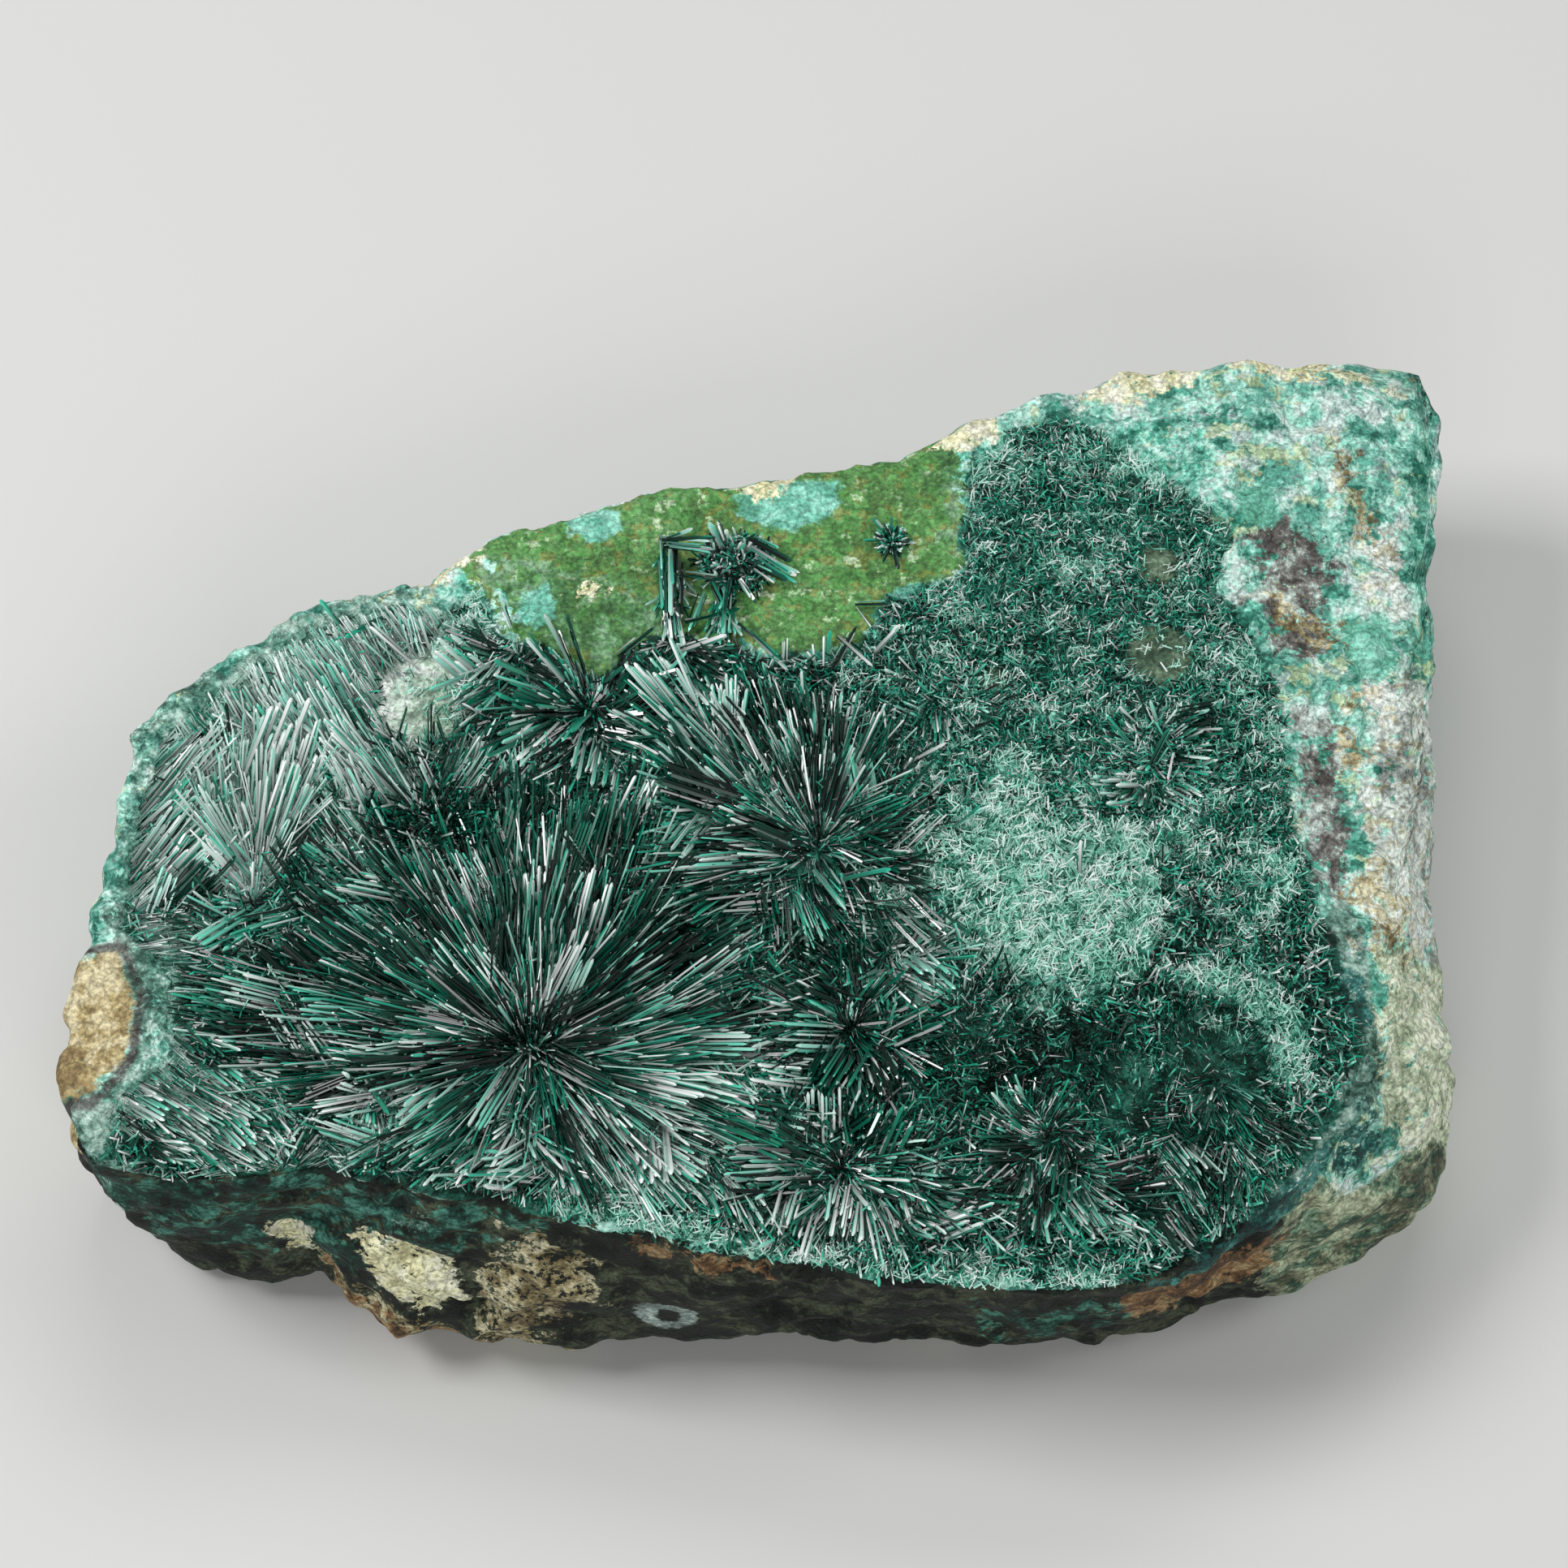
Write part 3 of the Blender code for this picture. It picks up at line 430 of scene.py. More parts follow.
def cells(points, scale, seed=0):
    """Distance to the nearest of one hashed point per cell, in cells, and that cell's own
    number from 0 to 1."""
    places = points * scale
    home = np.floor(places).astype(np.int64)
    nearest = np.full(points.shape[:-1], 9.0)
    owner = np.zeros(points.shape[:-1])
    for step in product((-1, 0, 1), repeat=3):
        other = home + np.array(step)
        code = hashed(other, seed)
        gap = np.linalg.norm(other + three_parts(code) - places, axis=-1)
        closer = gap < nearest
        nearest = np.where(closer, gap, nearest)
        owner = np.where(closer, (code >> np.uint64(7)).astype(float) % 997 / 997.0, owner)
    return nearest, owner


def chips(points, scale, seed=0):
    """Broken facets, about -0.5 to 0.5: each cell of space is cut by its own tilted plane, so
    the value is the offset from the cell's point along a hashed direction."""
    places = points * scale
    home = np.floor(places).astype(np.int64)
    nearest = np.full(points.shape[:-1], 9.0)
    value = np.zeros(points.shape[:-1])
    for step in product((-1, 0, 1), repeat=3):
        other = home + np.array(step)
        code = hashed(other, seed)
        offset = places - other - three_parts(code)
        gap = np.linalg.norm(offset, axis=-1)
        slope = three_parts(hashed(other, seed + 501)) * 2.0 - 1.0
        closer = gap < nearest
        nearest = np.where(closer, gap, nearest)
        value = np.where(closer, (offset * slope).sum(-1), value)
    return value


def smooth(low, high, value):
    """0 below low, 1 above high and an S-curve between."""
    part = ((value - low) / (high - low)).clip(0.0, 1.0)
    return part * part * (3.0 - 2.0 * part)


def depth_inside(points, outline):
    """Signed distance to a closed outline in the plane, positive inside.

    The size is the least distance to any side; the sign comes from how often a ray along +X
    crosses the sides.
    """
    outline = np.asarray(outline, float)
    after = np.roll(outline, -1, axis=0)
    x, y = points[..., 0], points[..., 1]
    nearest = np.full(x.shape, 1e9)
    inside = np.zeros(x.shape, bool)
    for (x0, y0), (x1, y1) in zip(outline, after):
        side = np.array([x1 - x0, y1 - y0])
        along = ((x - x0) * side[0] + (y - y0) * side[1]) / (side @ side)
        along = along.clip(0.0, 1.0)
        gap = np.hypot(x - x0 - along * side[0], y - y0 - along * side[1])
        nearest = np.minimum(nearest, gap)
        if y0 != y1:
            crosses = (y0 > y) != (y1 > y)
            inside ^= crosses & (x < x0 + (y - y0) / (y1 - y0) * side[0])
    return np.where(inside, nearest, -nearest)


def depth_in_any(points, outlines):
    """Signed distance to the nearest of several patches, positive inside one."""
    return np.max([depth_inside(points, outline) for outline in outlines], axis=0)


# Slab surface

def rim_radius(turn):
    """Distance from the middle to the rim outline at each angle, by straight interpolation of
    the outline's corners over angle."""
    offset = RIM_OUTLINE - MIDDLE
    bearing = np.arctan2(offset[:, 1], offset[:, 0])
    order = np.argsort(bearing)
    reach = np.linalg.norm(offset, axis=1)
    return np.interp(turn, bearing[order], reach[order], period=math.tau)


def wall_radius(turn, z):
    """Rim radius plus the wall's lean: interpolated over angle at the belly and the shoulder,
    then over height."""
    degrees = np.degrees(turn) % 360.0
    shoulder = np.interp(degrees, WALL_LEAN[:, 0], WALL_LEAN[:, 1], period=360.0)
    belly = np.interp(degrees, WALL_LEAN[:, 0], WALL_LEAN[:, 2], period=360.0)
    low = (z / Z_BELLY).clip(0.0, 1.0)
    middle = ((z - Z_BELLY) / (Z_SHOULDER - Z_BELLY)).clip(0.0, 1.0)
    high = ((z - Z_SHOULDER) / (Z_RIM - Z_SHOULDER)).clip(0.0, 1.0)
    lean = belly - BACK_INSET * (1.0 - low) ** 1.6
    lean = lean + (shoulder - belly) * middle
    return rim_radius(turn) + lean * (1.0 - high)


def domes(x, y):
    """Sum of round humps under the sprays, 0.075 of each reach high."""
    total = np.zeros(np.shape(x))
    for centre_x, centre_y, reach in CAD_DOMES:
        squared = (x - centre_x) ** 2 + (y - centre_y) ** 2
        total += 0.075 * reach * np.exp(-squared / (0.55 * reach) ** 2)
    return total


def bare_top(x, y):
    """Height of the rock where no crystals grow: lumpy, sinking to the right and lower on the
    olive patch."""
    flat = np.stack([x, y, np.zeros_like(x)], -1)
    slope = 0.2 * np.maximum(0.0, x - 46.0)
    patch = 0.7 * np.exp(-((x + 4.0) ** 2 + (y - 27.0) ** 2) / 16.0**2)
    corner = 0.9 * np.exp(-((x - 52.0) ** 2 + (y - 38.0) ** 2) / 10.0**2)
    return Z_RIM + 0.5 * fractal(flat, 0.09, 3, 5) - slope - patch + corner


def carpet_ground(x, y):
    """Height of the ground that the crystals grow from, just under the solid carpet; its
    near-black colour is painted shade.
    """
    flat = np.stack([x, y, np.zeros_like(x)], -1)
    ridges = 0.55 * fractal(flat, 0.21, 2, 11)
    mint = smooth(-0.6, 1.6, mint_depth(flat[..., :2]))
    lumps = mint * (0.45 + 0.55 * fractal(flat, 0.36, 3, 15))
    return CARPET_SURFACE - GROUND_DEPTH + domes(x, y) + ridges + lumps


def carpet_edge(points):
    """How far inside the crystal carpet a point of the plane lies, with a wavy edge."""
    return depth_inside(points, CARPET_OUTLINE) + 0.9 * fractal(flat3(points), 0.3, 3, 19)


def mint_depth(points):
    """How far inside the mint powder a point of the plane lies: the patches with a ragged edge,
    or stray spots of noise within the druse."""
    ragged = 8.0 * wave(flat3(points), 0.12, 61) + 5.5 * fractal(flat3(points), 0.33, 3, 67, 0.6)
    patches = depth_in_any(points, MINT_PATCHES) + ragged
    lumps = 2.0 * depth_in_any(points, MINT_LUMPS) + 0.22 * ragged + 1.2
    patches = np.maximum(patches, lumps)
    stray = 6.0 * (fractal(flat3(points), 0.15, 3, 91) - 0.34)
    return np.maximum(patches, stray + np.minimum(depth_inside(points, DRUSE_FIELD), 0.0))


def top_height(x, y):
    """Upper face: carpet ground inside its outline, bare rock outside, blended over 1.6 mm."""
    flat = np.stack([x, y], -1)
    share = smooth(-0.9, 0.7, carpet_edge(flat))
    return bare_top(x, y) * (1.0 - share) + carpet_ground(x, y) * share


def slab_rows():
    """Rows of the slab's sweep from the middle of its back, up the wall and over the rim to
    the middle of its top.

    Each row is (kind, value): a share of the foot's outline, a height on the wall, or a share
    of the rim's outline on top.
    """
    rows = [("back", share) for share in BACK_SCALES]
    heights = (Z_RIM - 0.9) * (np.linspace(0.0, 1.0, WALL_ROWS) ** 0.96)
    rows += [("wall", height) for height in heights]
    fine = np.linspace(0.994, TOP_FINE_FROM, TOP_FINE_ROWS)
    coarse = np.linspace(TOP_FINE_FROM, 0.0, TOP_COARSE_ROWS + 1)[1:]
    rows += [("top", share) for share in (*fine, *coarse)]
    return rows


def slab_places():
    """Undisturbed slab surface as an array of rows by angles by 3."""
    turn = np.linspace(0.0, math.tau, SLAB_ANGLES, endpoint=False)
    around = np.stack([np.cos(turn), np.sin(turn)], -1)
    jag = np.stack([60.0 * around[:, 0], 60.0 * around[:, 1], np.zeros(SLAB_ANGLES)], -1)
    rim = rim_radius(turn) + 0.5 * fractal(jag, 0.22, 3, 3)
    places = []
    for kind, value in slab_rows():
        if kind == "top":
            flat = MIDDLE + around * (rim * value)[:, None]
            rounding = 0.5 * smooth(0.975, 1.0, np.full(SLAB_ANGLES, value))
            height = top_height(flat[:, 0], flat[:, 1]) - rounding
        else:
            z = np.full(SLAB_ANGLES, value if kind == "wall" else 0.0)
            share = 1.0 if kind == "wall" else value
            radius = wall_radius(turn, z) + (rim - rim_radius(turn)) * smooth(14.0, 25.0, z)
            flat = MIDDLE + around * (radius * share)[:, None]
            height = z
        places.append(np.column_stack([flat, height]))
    return np.array(places)


def surface_normals(places):
    """Unit normals of a grid that is closed along its second axis: the cross product of its
    differences along rows and columns."""
    along = np.roll(places, -1, axis=1) - np.roll(places, 1, axis=1)
    across = np.gradient(places, axis=0)
    normal = np.cross(along, across)
    return normal / np.maximum(np.linalg.norm(normal, axis=-1, keepdims=True), 1e-9)


def ore_fields(places, facing):
    """Signed distances in millimetres to each kind of patch, positive inside, for the colours
    and the relief."""
    flat = places[..., :2]
    upright = places[..., [0, 2]]
    on_top = smooth(0.25, 0.6, facing[..., 2])
    near_wall = smooth(0.1, 0.4, -facing[..., 1])
    off_top = -14.0 * (1.0 - on_top)
    off_wall = -8.0 * (1.0 - near_wall) - 8.0 * smooth(0.6, 0.85, facing[..., 2])
    ring = np.hypot(
        (upright[..., 0] - WALL_RING_CENTRE[0]) / WALL_RING_SIZE[0],
        (upright[..., 1] - WALL_RING_CENTRE[1]) / WALL_RING_SIZE[1],
    )
    right = np.minimum(places[..., 0] - RIGHT_SIDE_FROM, -14.0 - places[..., 1]).clip(-20.0, 4.0)
    level = places[..., 2] + 4.5 * fractal(places, 0.07, 4, 87, 0.6)
    behind = depth_behind(places).clip(-20.0, 4.0) - 10.0 * smooth(18.0, 24.0, level)
    sand = depth_in_any(flat, SAND_PATCHES) - 3.0 * smooth(14.0, 7.0, places[..., 2])
    deep = 13.0 * smooth(42.0, 56.0, places[..., 0])
    upper = np.maximum((on_top - 0.5) * 4.0, 0.6 * (level - 20.0 + deep))
    return {
        "ground": carpet_edge(flat) + off_top,
        "top": np.minimum(upper, -depth_inside(flat, FRONT_BAND)),
        "patina": np.minimum(upper, -depth_inside(flat, FRONT_BAND)),
        "olive": depth_inside(flat, OLIVE_PATCH) + off_top,
        "grey_olive": depth_in_any(flat, GREY_OLIVE_PATCHES) + off_top,
        "moss": depth_in_any(flat, MOSS_PATCHES) - 3.0 * (1.0 - on_top),
        "turquoise": depth_in_any(flat, TURQUOISE_PATCHES) + off_top,
        "cream": np.maximum(
            depth_in_any(flat, CREAM_PATCHES) - 4.0 * (1.0 - on_top),
            depth_in_any(upright, WALL_CREAM) + off_wall,
        ),
        "powder": depth_in_any(flat, POWDER_PATCHES) + off_top,
        "bald": np.max([r + 0.2 - np.hypot(flat[..., 0] - x, flat[..., 1] - y)
                        for x, y, r in BALD_SPOTS], axis=0) + off_top,
        "sand": sand,
        "crack": 0.5 - np.abs(sand + 0.7),
        "knob": depth_in_any(flat, KNOB_PATCHES) - 3.0 * smooth(18.0, 11.0, places[..., 2]),
        "brown": depth_in_any(flat, BROWN_PATCHES) + off_top,
        "lilac": depth_in_any(flat, LILAC_PATCHES) - 3.0 * (1.0 - on_top),
        "ochre": np.maximum(
            depth_in_any(flat, OCHRE_PATCHES) + off_top,
            depth_in_any(upright, WALL_OCHRE) + off_wall,
        ),
        "rust": depth_in_any(upright, WALL_RUST) + off_wall,
        "teal": np.maximum(
            depth_in_any(flat, TEAL_PATCHES) - 3.0 * (1.0 - on_top),
            depth_in_any(upright, WALL_TEAL) + off_wall,
        ),
        "mint": mint_depth(flat) + off_top,
        "pale_bed": depth_in_any(flat, [row[-1] for row in BUNDLES]) + off_top,
        "malachite": depth_in_any(upright, WALL_MALACHITE) + off_wall,
        "ring": (0.30 - np.abs(ring - 0.72)) * 3.0 + off_wall,
        "right_side": np.maximum(right, behind) - 10.0 * on_top,
    }


def depth_behind(places):
    """How far behind the far rim's line a place lies; only the far walls are behind it."""
    return places[..., 1] - 12.0 - 0.32 * places[..., 0]


def slab_relief(places, facing, fields):
    """Displacement along the normal: broken ledges on the walls, lumps on the crust, fine
    bubbles on the olive patch and grit under the crystals."""
    on_top = smooth(0.25, 0.6, facing[..., 2])
    ground = smooth(-0.4, 0.8, fields["ground"])
    olive = smooth(-0.6, 0.8, fields["olive"]) * (1.0 - ground)
    brown = smooth(-0.6, 0.6, fields["brown"]) * (1.0 - ground)
    squashed = places * np.array([1.0, 1.0, 1.8])
    ledges = 0.8 * fractal(squashed, 0.08, 2, 21) + 1.5 * chips(squashed, 0.15, 7)
    ledges += 0.8 * chips(squashed, 0.36, 8) + 0.24 * chips(places, 0.9, 10)
    beside, above = places[..., 0] - WALL_RING_CENTRE[0], places[..., 2] - WALL_RING_CENTRE[1]
    ringed = np.exp(-((beside / 6.0) ** 2) - (above / 9.0) ** 2) * (places[..., 1] < -30.0)
    ledges *= 1.0 - 0.9 * ringed
    crust = 1.0 * chips(places, 0.22, 12) + 0.7 * chips(places, 0.5, 14)
    crust += 0.35 * chips(places, 1.0, 16) + 0.4 * fractal(places, 0.3, 4, 27, 0.6)
    crust *= 1.0 - 0.6 * smooth(-0.5, 0.8, fields["sand"])
    bubble, _ = cells(places, 1.3, 13)
    bubbles = 0.24 * (0.6 - bubble) + 0.35 * fractal(places, 0.3, 3, 33)
    pits = -0.35 + 0.5 * fractal(places, 0.7, 4, 35, 0.6)
    mint = smooth(-0.5, 0.8, fields["mint"])
    grit = 0.3 * fractal(places, 0.8, 3, 37, 0.6) + 0.5 * mint * fractal(places, 0.7, 3, 39, 0.7)
    top = crust * (1.0 - olive) + bubbles * olive
    top = top * (1.0 - brown) + pits * brown
    top = top * (1.0 - ground) + grit * ground
    moved = ledges * (1.0 - on_top) + top * on_top
    softer = softened(softened(moved))
    moved = softer * (1.0 - on_top) + softened(moved) * on_top
    return moved * smooth(0.2, 2.5, places[..., 2])


def softened(values):
    """Each value of the grid averaged with its four neighbours, round the closed axis too."""
    padded = np.concatenate([values[:1], values, values[-1:]])
    along = np.roll(values, 1, axis=1) + np.roll(values, -1, axis=1)
    return (2.0 * values + padded[:-2] + padded[2:] + along) / 6.0


def slab_mesh():
    """The whole slab as one closed grid: rows swept round the middle, with poles at both ends."""
    places = slab_places()
    facing = surface_normals(places)
    facing[: len(BACK_SCALES)] = (0.0, 0.0, -1.0)
    fields = ore_fields(places, facing)
    places = places + facing * slab_relief(places, facing, fields)[..., None]
    places[: len(BACK_SCALES), :, 2] = 0.0
    places[-1] = places[-1].mean(axis=0)
    places[0] = places[0].mean(axis=0)
    rows, turns = places.shape[:2]
    number = np.arange(rows * turns).reshape(rows, turns)
    after = np.roll(number, -1, axis=1)
    body = np.stack([number[1:-2], after[1:-2], after[2:-1], number[2:-1]], -1).reshape(-1, 4)
    low_pole = np.stack([number[1], np.full(turns, number[0, 0]), after[1]], -1)
    high_pole = np.stack([number[-2], after[-2], np.full(turns, number[-1, 0])], -1)
    used = np.ones(rows * turns, bool)
    used[number[0, 1:]] = False
    used[number[-1, 1:]] = False
    renumber = np.cumsum(used) - 1
    faces = [renumber[face] for face in (body, low_pole, high_pole)]
    flat_fields = {name: value.reshape(-1)[used] for name, value in fields.items()}
    return places.reshape(-1, 3)[used], faces, flat_fields, slab_map(rows, turns)


def slab_map(rows, turns):
    """Corner map for the slab's faces: angle along u and row along v, in the faces' order."""
    column = np.arange(turns)
    u0, u1 = column / turns, (column + 1) / turns
    v = np.arange(rows) / (rows - 1)
    low, high = v[1:-2], v[2:-1]
    grid = np.empty((len(low), turns, 4, 2))
    grid[..., 0, 0] = grid[..., 3, 0] = u0
    grid[..., 1, 0] = grid[..., 2, 0] = u1
    grid[..., 0, 1] = grid[..., 1, 1] = low[:, None]
    grid[..., 2, 1] = grid[..., 3, 1] = high[:, None]
    middle = (u0 + u1) / 2
    low_pole = np.empty((turns, 3, 2))
    low_pole[:, :, 0] = np.stack([u0, middle, u1], -1)
    low_pole[:, :, 1] = (v[1], v[0], v[1])
    high_pole = np.empty((turns, 3, 2))
    high_pole[:, :, 0] = np.stack([u0, u1, middle], -1)
    high_pole[:, :, 1] = (v[-2], v[-2], v[-1])
    return np.concatenate([part.reshape(-1, 2) for part in (grid, low_pole, high_pole)])


# Crystals

def unit(vectors):
    """Vectors scaled to length one."""
    return vectors / np.maximum(np.linalg.norm(vectors, axis=-1, keepdims=True), 1e-9)


def heading(bearing, tilt):
    """Unit directions from a bearing in the plane and a tilt above it, both in radians."""
    level = np.cos(tilt)
    return np.stack([level * np.cos(bearing), level * np.sin(bearing), np.sin(tilt)], -1)


def growth(foot, way, length, width, roll, tone):
    """A set of crystals as plain arrays, one entry for each crystal."""
    count = len(foot)
    spread = [np.broadcast_to(np.asarray(x, float), (count,)) for x in (length, width, roll, tone)]
    return SimpleNamespace(
        foot=foot, way=unit(way), length=spread[0], width=spread[1], roll=spread[2], tone=spread[3]
    )


def joined(*sets):
    """Several sets of crystals as one."""
    names = ("foot", "way", "length", "width", "roll", "tone")
    return SimpleNamespace(**{n: np.concatenate([getattr(s, n) for s in sets]) for n in names})


def kept(crystals, mask):
    """The crystals that a mask keeps."""
    return SimpleNamespace(**{name: value[mask] for name, value in vars(crystals).items()})


def axes_across(crystals):
    """Two directions across each crystal: its level side and its upper side, turned about the
    crystal by its roll."""
    level = np.cross(crystals.way, (0.0, 0.0, 1.0))
    upright = np.linalg.norm(level, axis=1) < 0.05
    level[upright] = (1.0, 0.0, 0.0)
    level = unit(level)
    upper = np.cross(level, crystals.way)
    turn = crystals.roll[:, None]
    broad = level * np.cos(turn) + upper * np.sin(turn)
    return broad, np.cross(crystals.way, broad)


def prism_mesh(crystals, flatness=0.68, taper=0.82, wedge=0.75):
    """Rhombic prisms with wedge tips: four foot corners, four shoulder corners and two ends of
    the ridge, which lies along the broad diagonal at 0.4 of its half-length.

    The map's u is the crystal's tone, shifted from side to side, and v runs up the crystal.
    """
    broad, thin = axes_across(crystals)
    half = 0.5 * crystals.width[:, None]
    corner = [broad * half, thin * half * flatness, -broad * half, -thin * half * flatness]
    top = crystals.foot + crystals.way * crystals.length[:, None]
    ridge = top + crystals.way * (crystals.width * wedge)[:, None]
    places = [crystals.foot + side * taper for side in corner]
    places += [top + side for side in corner]
    places += [ridge + broad * half * 0.4, ridge - broad * half * 0.4]
    places = np.stack(places, 1)
    start = np.arange(len(places))[:, None] * 10
    quads = np.array([(0, 1, 5, 4), (1, 2, 6, 5), (2, 3, 7, 6), (3, 0, 4, 7), (3, 2, 1, 0)])
    tips = np.array([(4, 5, 8), (5, 9, 8), (5, 6, 9), (6, 7, 9), (7, 8, 9), (7, 4, 8)])
    rise = np.array([0.02] * 4 + [0.86] * 4 + [0.98] * 2)
    shift = {"quads": (0.10, -0.10, 0.06, -0.06, 0.0), "tips": (0.14, 0.16, 0.12, 0.0, 0.02, 0.0)}
    faces, maps = [], []
    for kind, corners in (("quads", quads), ("tips", tips)):
        faces.append((start[:, :, None] + corners[None]).reshape(-1, corners.shape[1]))
        u = crystals.tone[:, None, None] + np.array(shift[kind])[None, :, None]
        u = np.broadcast_to(u, (len(places), *corners.shape))
        v = np.broadcast_to(rise[corners][None], (len(places), *corners.shape))
        maps.append(np.stack([u, v], -1).reshape(-1, 2))
    return places.reshape(-1, 3), faces, np.concatenate(maps).clip(0.01, 0.99)


def blade_mesh(crystals, flatness=0.6):
    """Small crystals of six corners: a rhombic foot that narrows to a ridge across the tip."""
    broad, thin = axes_across(crystals)
    half = 0.5 * crystals.width[:, None]
    corner = [broad * half, thin * half * flatness, -broad * half, -thin * half * flatness]
    tip = crystals.foot + crystals.way * crystals.length[:, None]
    places = [crystals.foot + side for side in corner]
    places += [tip + broad * half * 0.7, tip - broad * half * 0.7]
    places = np.stack(places, 1)
    start = np.arange(len(places))[:, None] * 6
    quads = np.array([(3, 2, 1, 0)])
    sides = np.array([(0, 1, 4), (1, 5, 4), (1, 2, 5), (2, 3, 5), (3, 4, 5), (3, 0, 4)])
    rise = np.array([0.02] * 4 + [0.98] * 2)
    shift = {"quads": (0.0,), "sides": (0.1, 0.1, -0.1, 0.06, 0.06, -0.06)}
    faces, maps = [], []
    for kind, corners in (("quads", quads), ("sides", sides)):
        faces.append((start[:, :, None] + corners[None]).reshape(-1, corners.shape[1]))
        u = crystals.tone[:, None, None] + np.array(shift[kind])[None, :, None]
        u = np.broadcast_to(u, (len(places), *corners.shape))
        v = np.broadcast_to(rise[corners][None], (len(places), *corners.shape))
        maps.append(np.stack([u, v], -1).reshape(-1, 2))
    return places.reshape(-1, 3), faces, np.concatenate(maps).clip(0.01, 0.99)


def scattered(cell, generator, outline=CARPET_OUTLINE, margin=0.4):
    """Points spread evenly inside an outline: one at random in each square cell."""
    outline = np.asarray(outline, float)
    low, high = outline.min(axis=0), outline.max(axis=0)
    counts = np.ceil((high - low) / cell).astype(int)
    grid = np.stack(np.meshgrid(np.arange(counts[0]), np.arange(counts[1])), -1).reshape(-1, 2)
    points = low + (grid + generator.random(grid.shape)) * cell
    return points[depth_inside(points, outline) > margin]


def flat3(points):
    """Points in the plane as points in space at height nought, for the noise."""
    return np.concatenate([points, np.zeros_like(points[..., :1])], -1)


def turned(bearing):
    """Unit vectors in the plane from bearings in radians."""
    return np.stack([np.cos(bearing), np.sin(bearing)], -1)


def spray_shares(points):
    """Distance from each spray's centre over its reach that way; the reach is interpolated
    over bearing and made ragged by noise over the plane."""
    ragged = 1.0 + 0.16 * fractal(flat3(points), 0.2, 2, 41)
    shares = []
    for x, y, *_, reaches in SPRAYS:
        offset = points - (x, y)
        bearing = np.degrees(np.arctan2(offset[:, 1], offset[:, 0])) % 360.0
        angles, lengths = np.array(reaches).T
        reach = np.interp(bearing, angles, lengths, period=360.0)
        shares.append(np.linalg.norm(offset, axis=1) / (reach * ragged))
    return np.array(shares)


def growth_flow(points):
    """How the crystals at each point of the plane grow.

    A point belongs to the spray that it lies deepest in, or to a parallel bundle whose
    outline holds it.  The streaks are places for noise that change fast across the growth
    and slowly along it, so that whole rays share a tone, a roll and a height.
    """
    shares = spray_shares(points)
    owner = shares.argmin(axis=0)
    facts = np.array([row[:6] for row in SPRAYS])[owner]
    offset = points - facts[:, :2]
    away = np.linalg.norm(offset, axis=1)
    share = shares.min(axis=0)
    reach = away / np.maximum(share, 0.02)
    _, patch = cells(flat3(points), 0.3, 75)
    loose = np.where(reach > 13.0, 0.10, 0.42) * np.minimum(reach, away)
    offset = offset - turned(44.0 * patch) * loose[:, None]
    bearing = np.arctan2(offset[:, 1], offset[:, 0])
    odd = (patch * 57.0 % 1.0 < 0.15) & (share > np.where(reach > 13.0, 0.6, 0.3))
    bearing = bearing + odd * np.where(patch * 31.0 % 1.0 < 0.5, 0.9, -0.9)
    streaks = np.column_stack([13.0 * turned(bearing), 0.10 * away + 7.0 * owner])
    flow = SimpleNamespace(
        bearing=bearing, share=share, away=away, streaks=streaks, reach=reach,
        side=wave(np.column_stack([1.4 * turned(bearing), 5.3 * owner]), 1.0, 83),
        length=facts[:, 2].copy(), width=facts[:, 3].copy(), tilt=np.radians(facts[:, 4]),
        pale=facts[:, 5].copy(), steep=facts[:, 4] > 40.0,
    )
    edge = 1.2 * fractal(flat3(points), 0.4, 2, 71)
    for number, (degrees, length, width, tilt, pale, outline) in enumerate(BUNDLES):
        inside = depth_inside(points, outline) + edge > 0.0
        angle = math.radians(degrees)
        across = points @ (-math.sin(angle), math.cos(angle))
        along = points @ (math.cos(angle), math.sin(angle))
        flow.bearing[inside] = angle
        flow.share[inside] = 0.6
        flow.away[inside] = 9.0
        flow.reach[inside] = 15.0
        flow.length[inside] = length
        flow.width[inside] = width
        flow.tilt[inside] = math.radians(tilt)
        flow.pale[inside] = pale
        flow.steep[inside] = False
        place = np.stack([1.1 * across, 0.1 * along, np.full(len(across), 200.0 + number)], -1)
        flow.streaks[inside] = place[inside]
    for x, y, radius, amount in PALE_AND_GLINT_SPOTS:
        squared = ((points - (x, y)) ** 2).sum(-1)
        flow.pale += amount * np.exp(-squared / radius**2)
    flow.pale = flow.pale.clip(0.0, 1.2)
    return flow


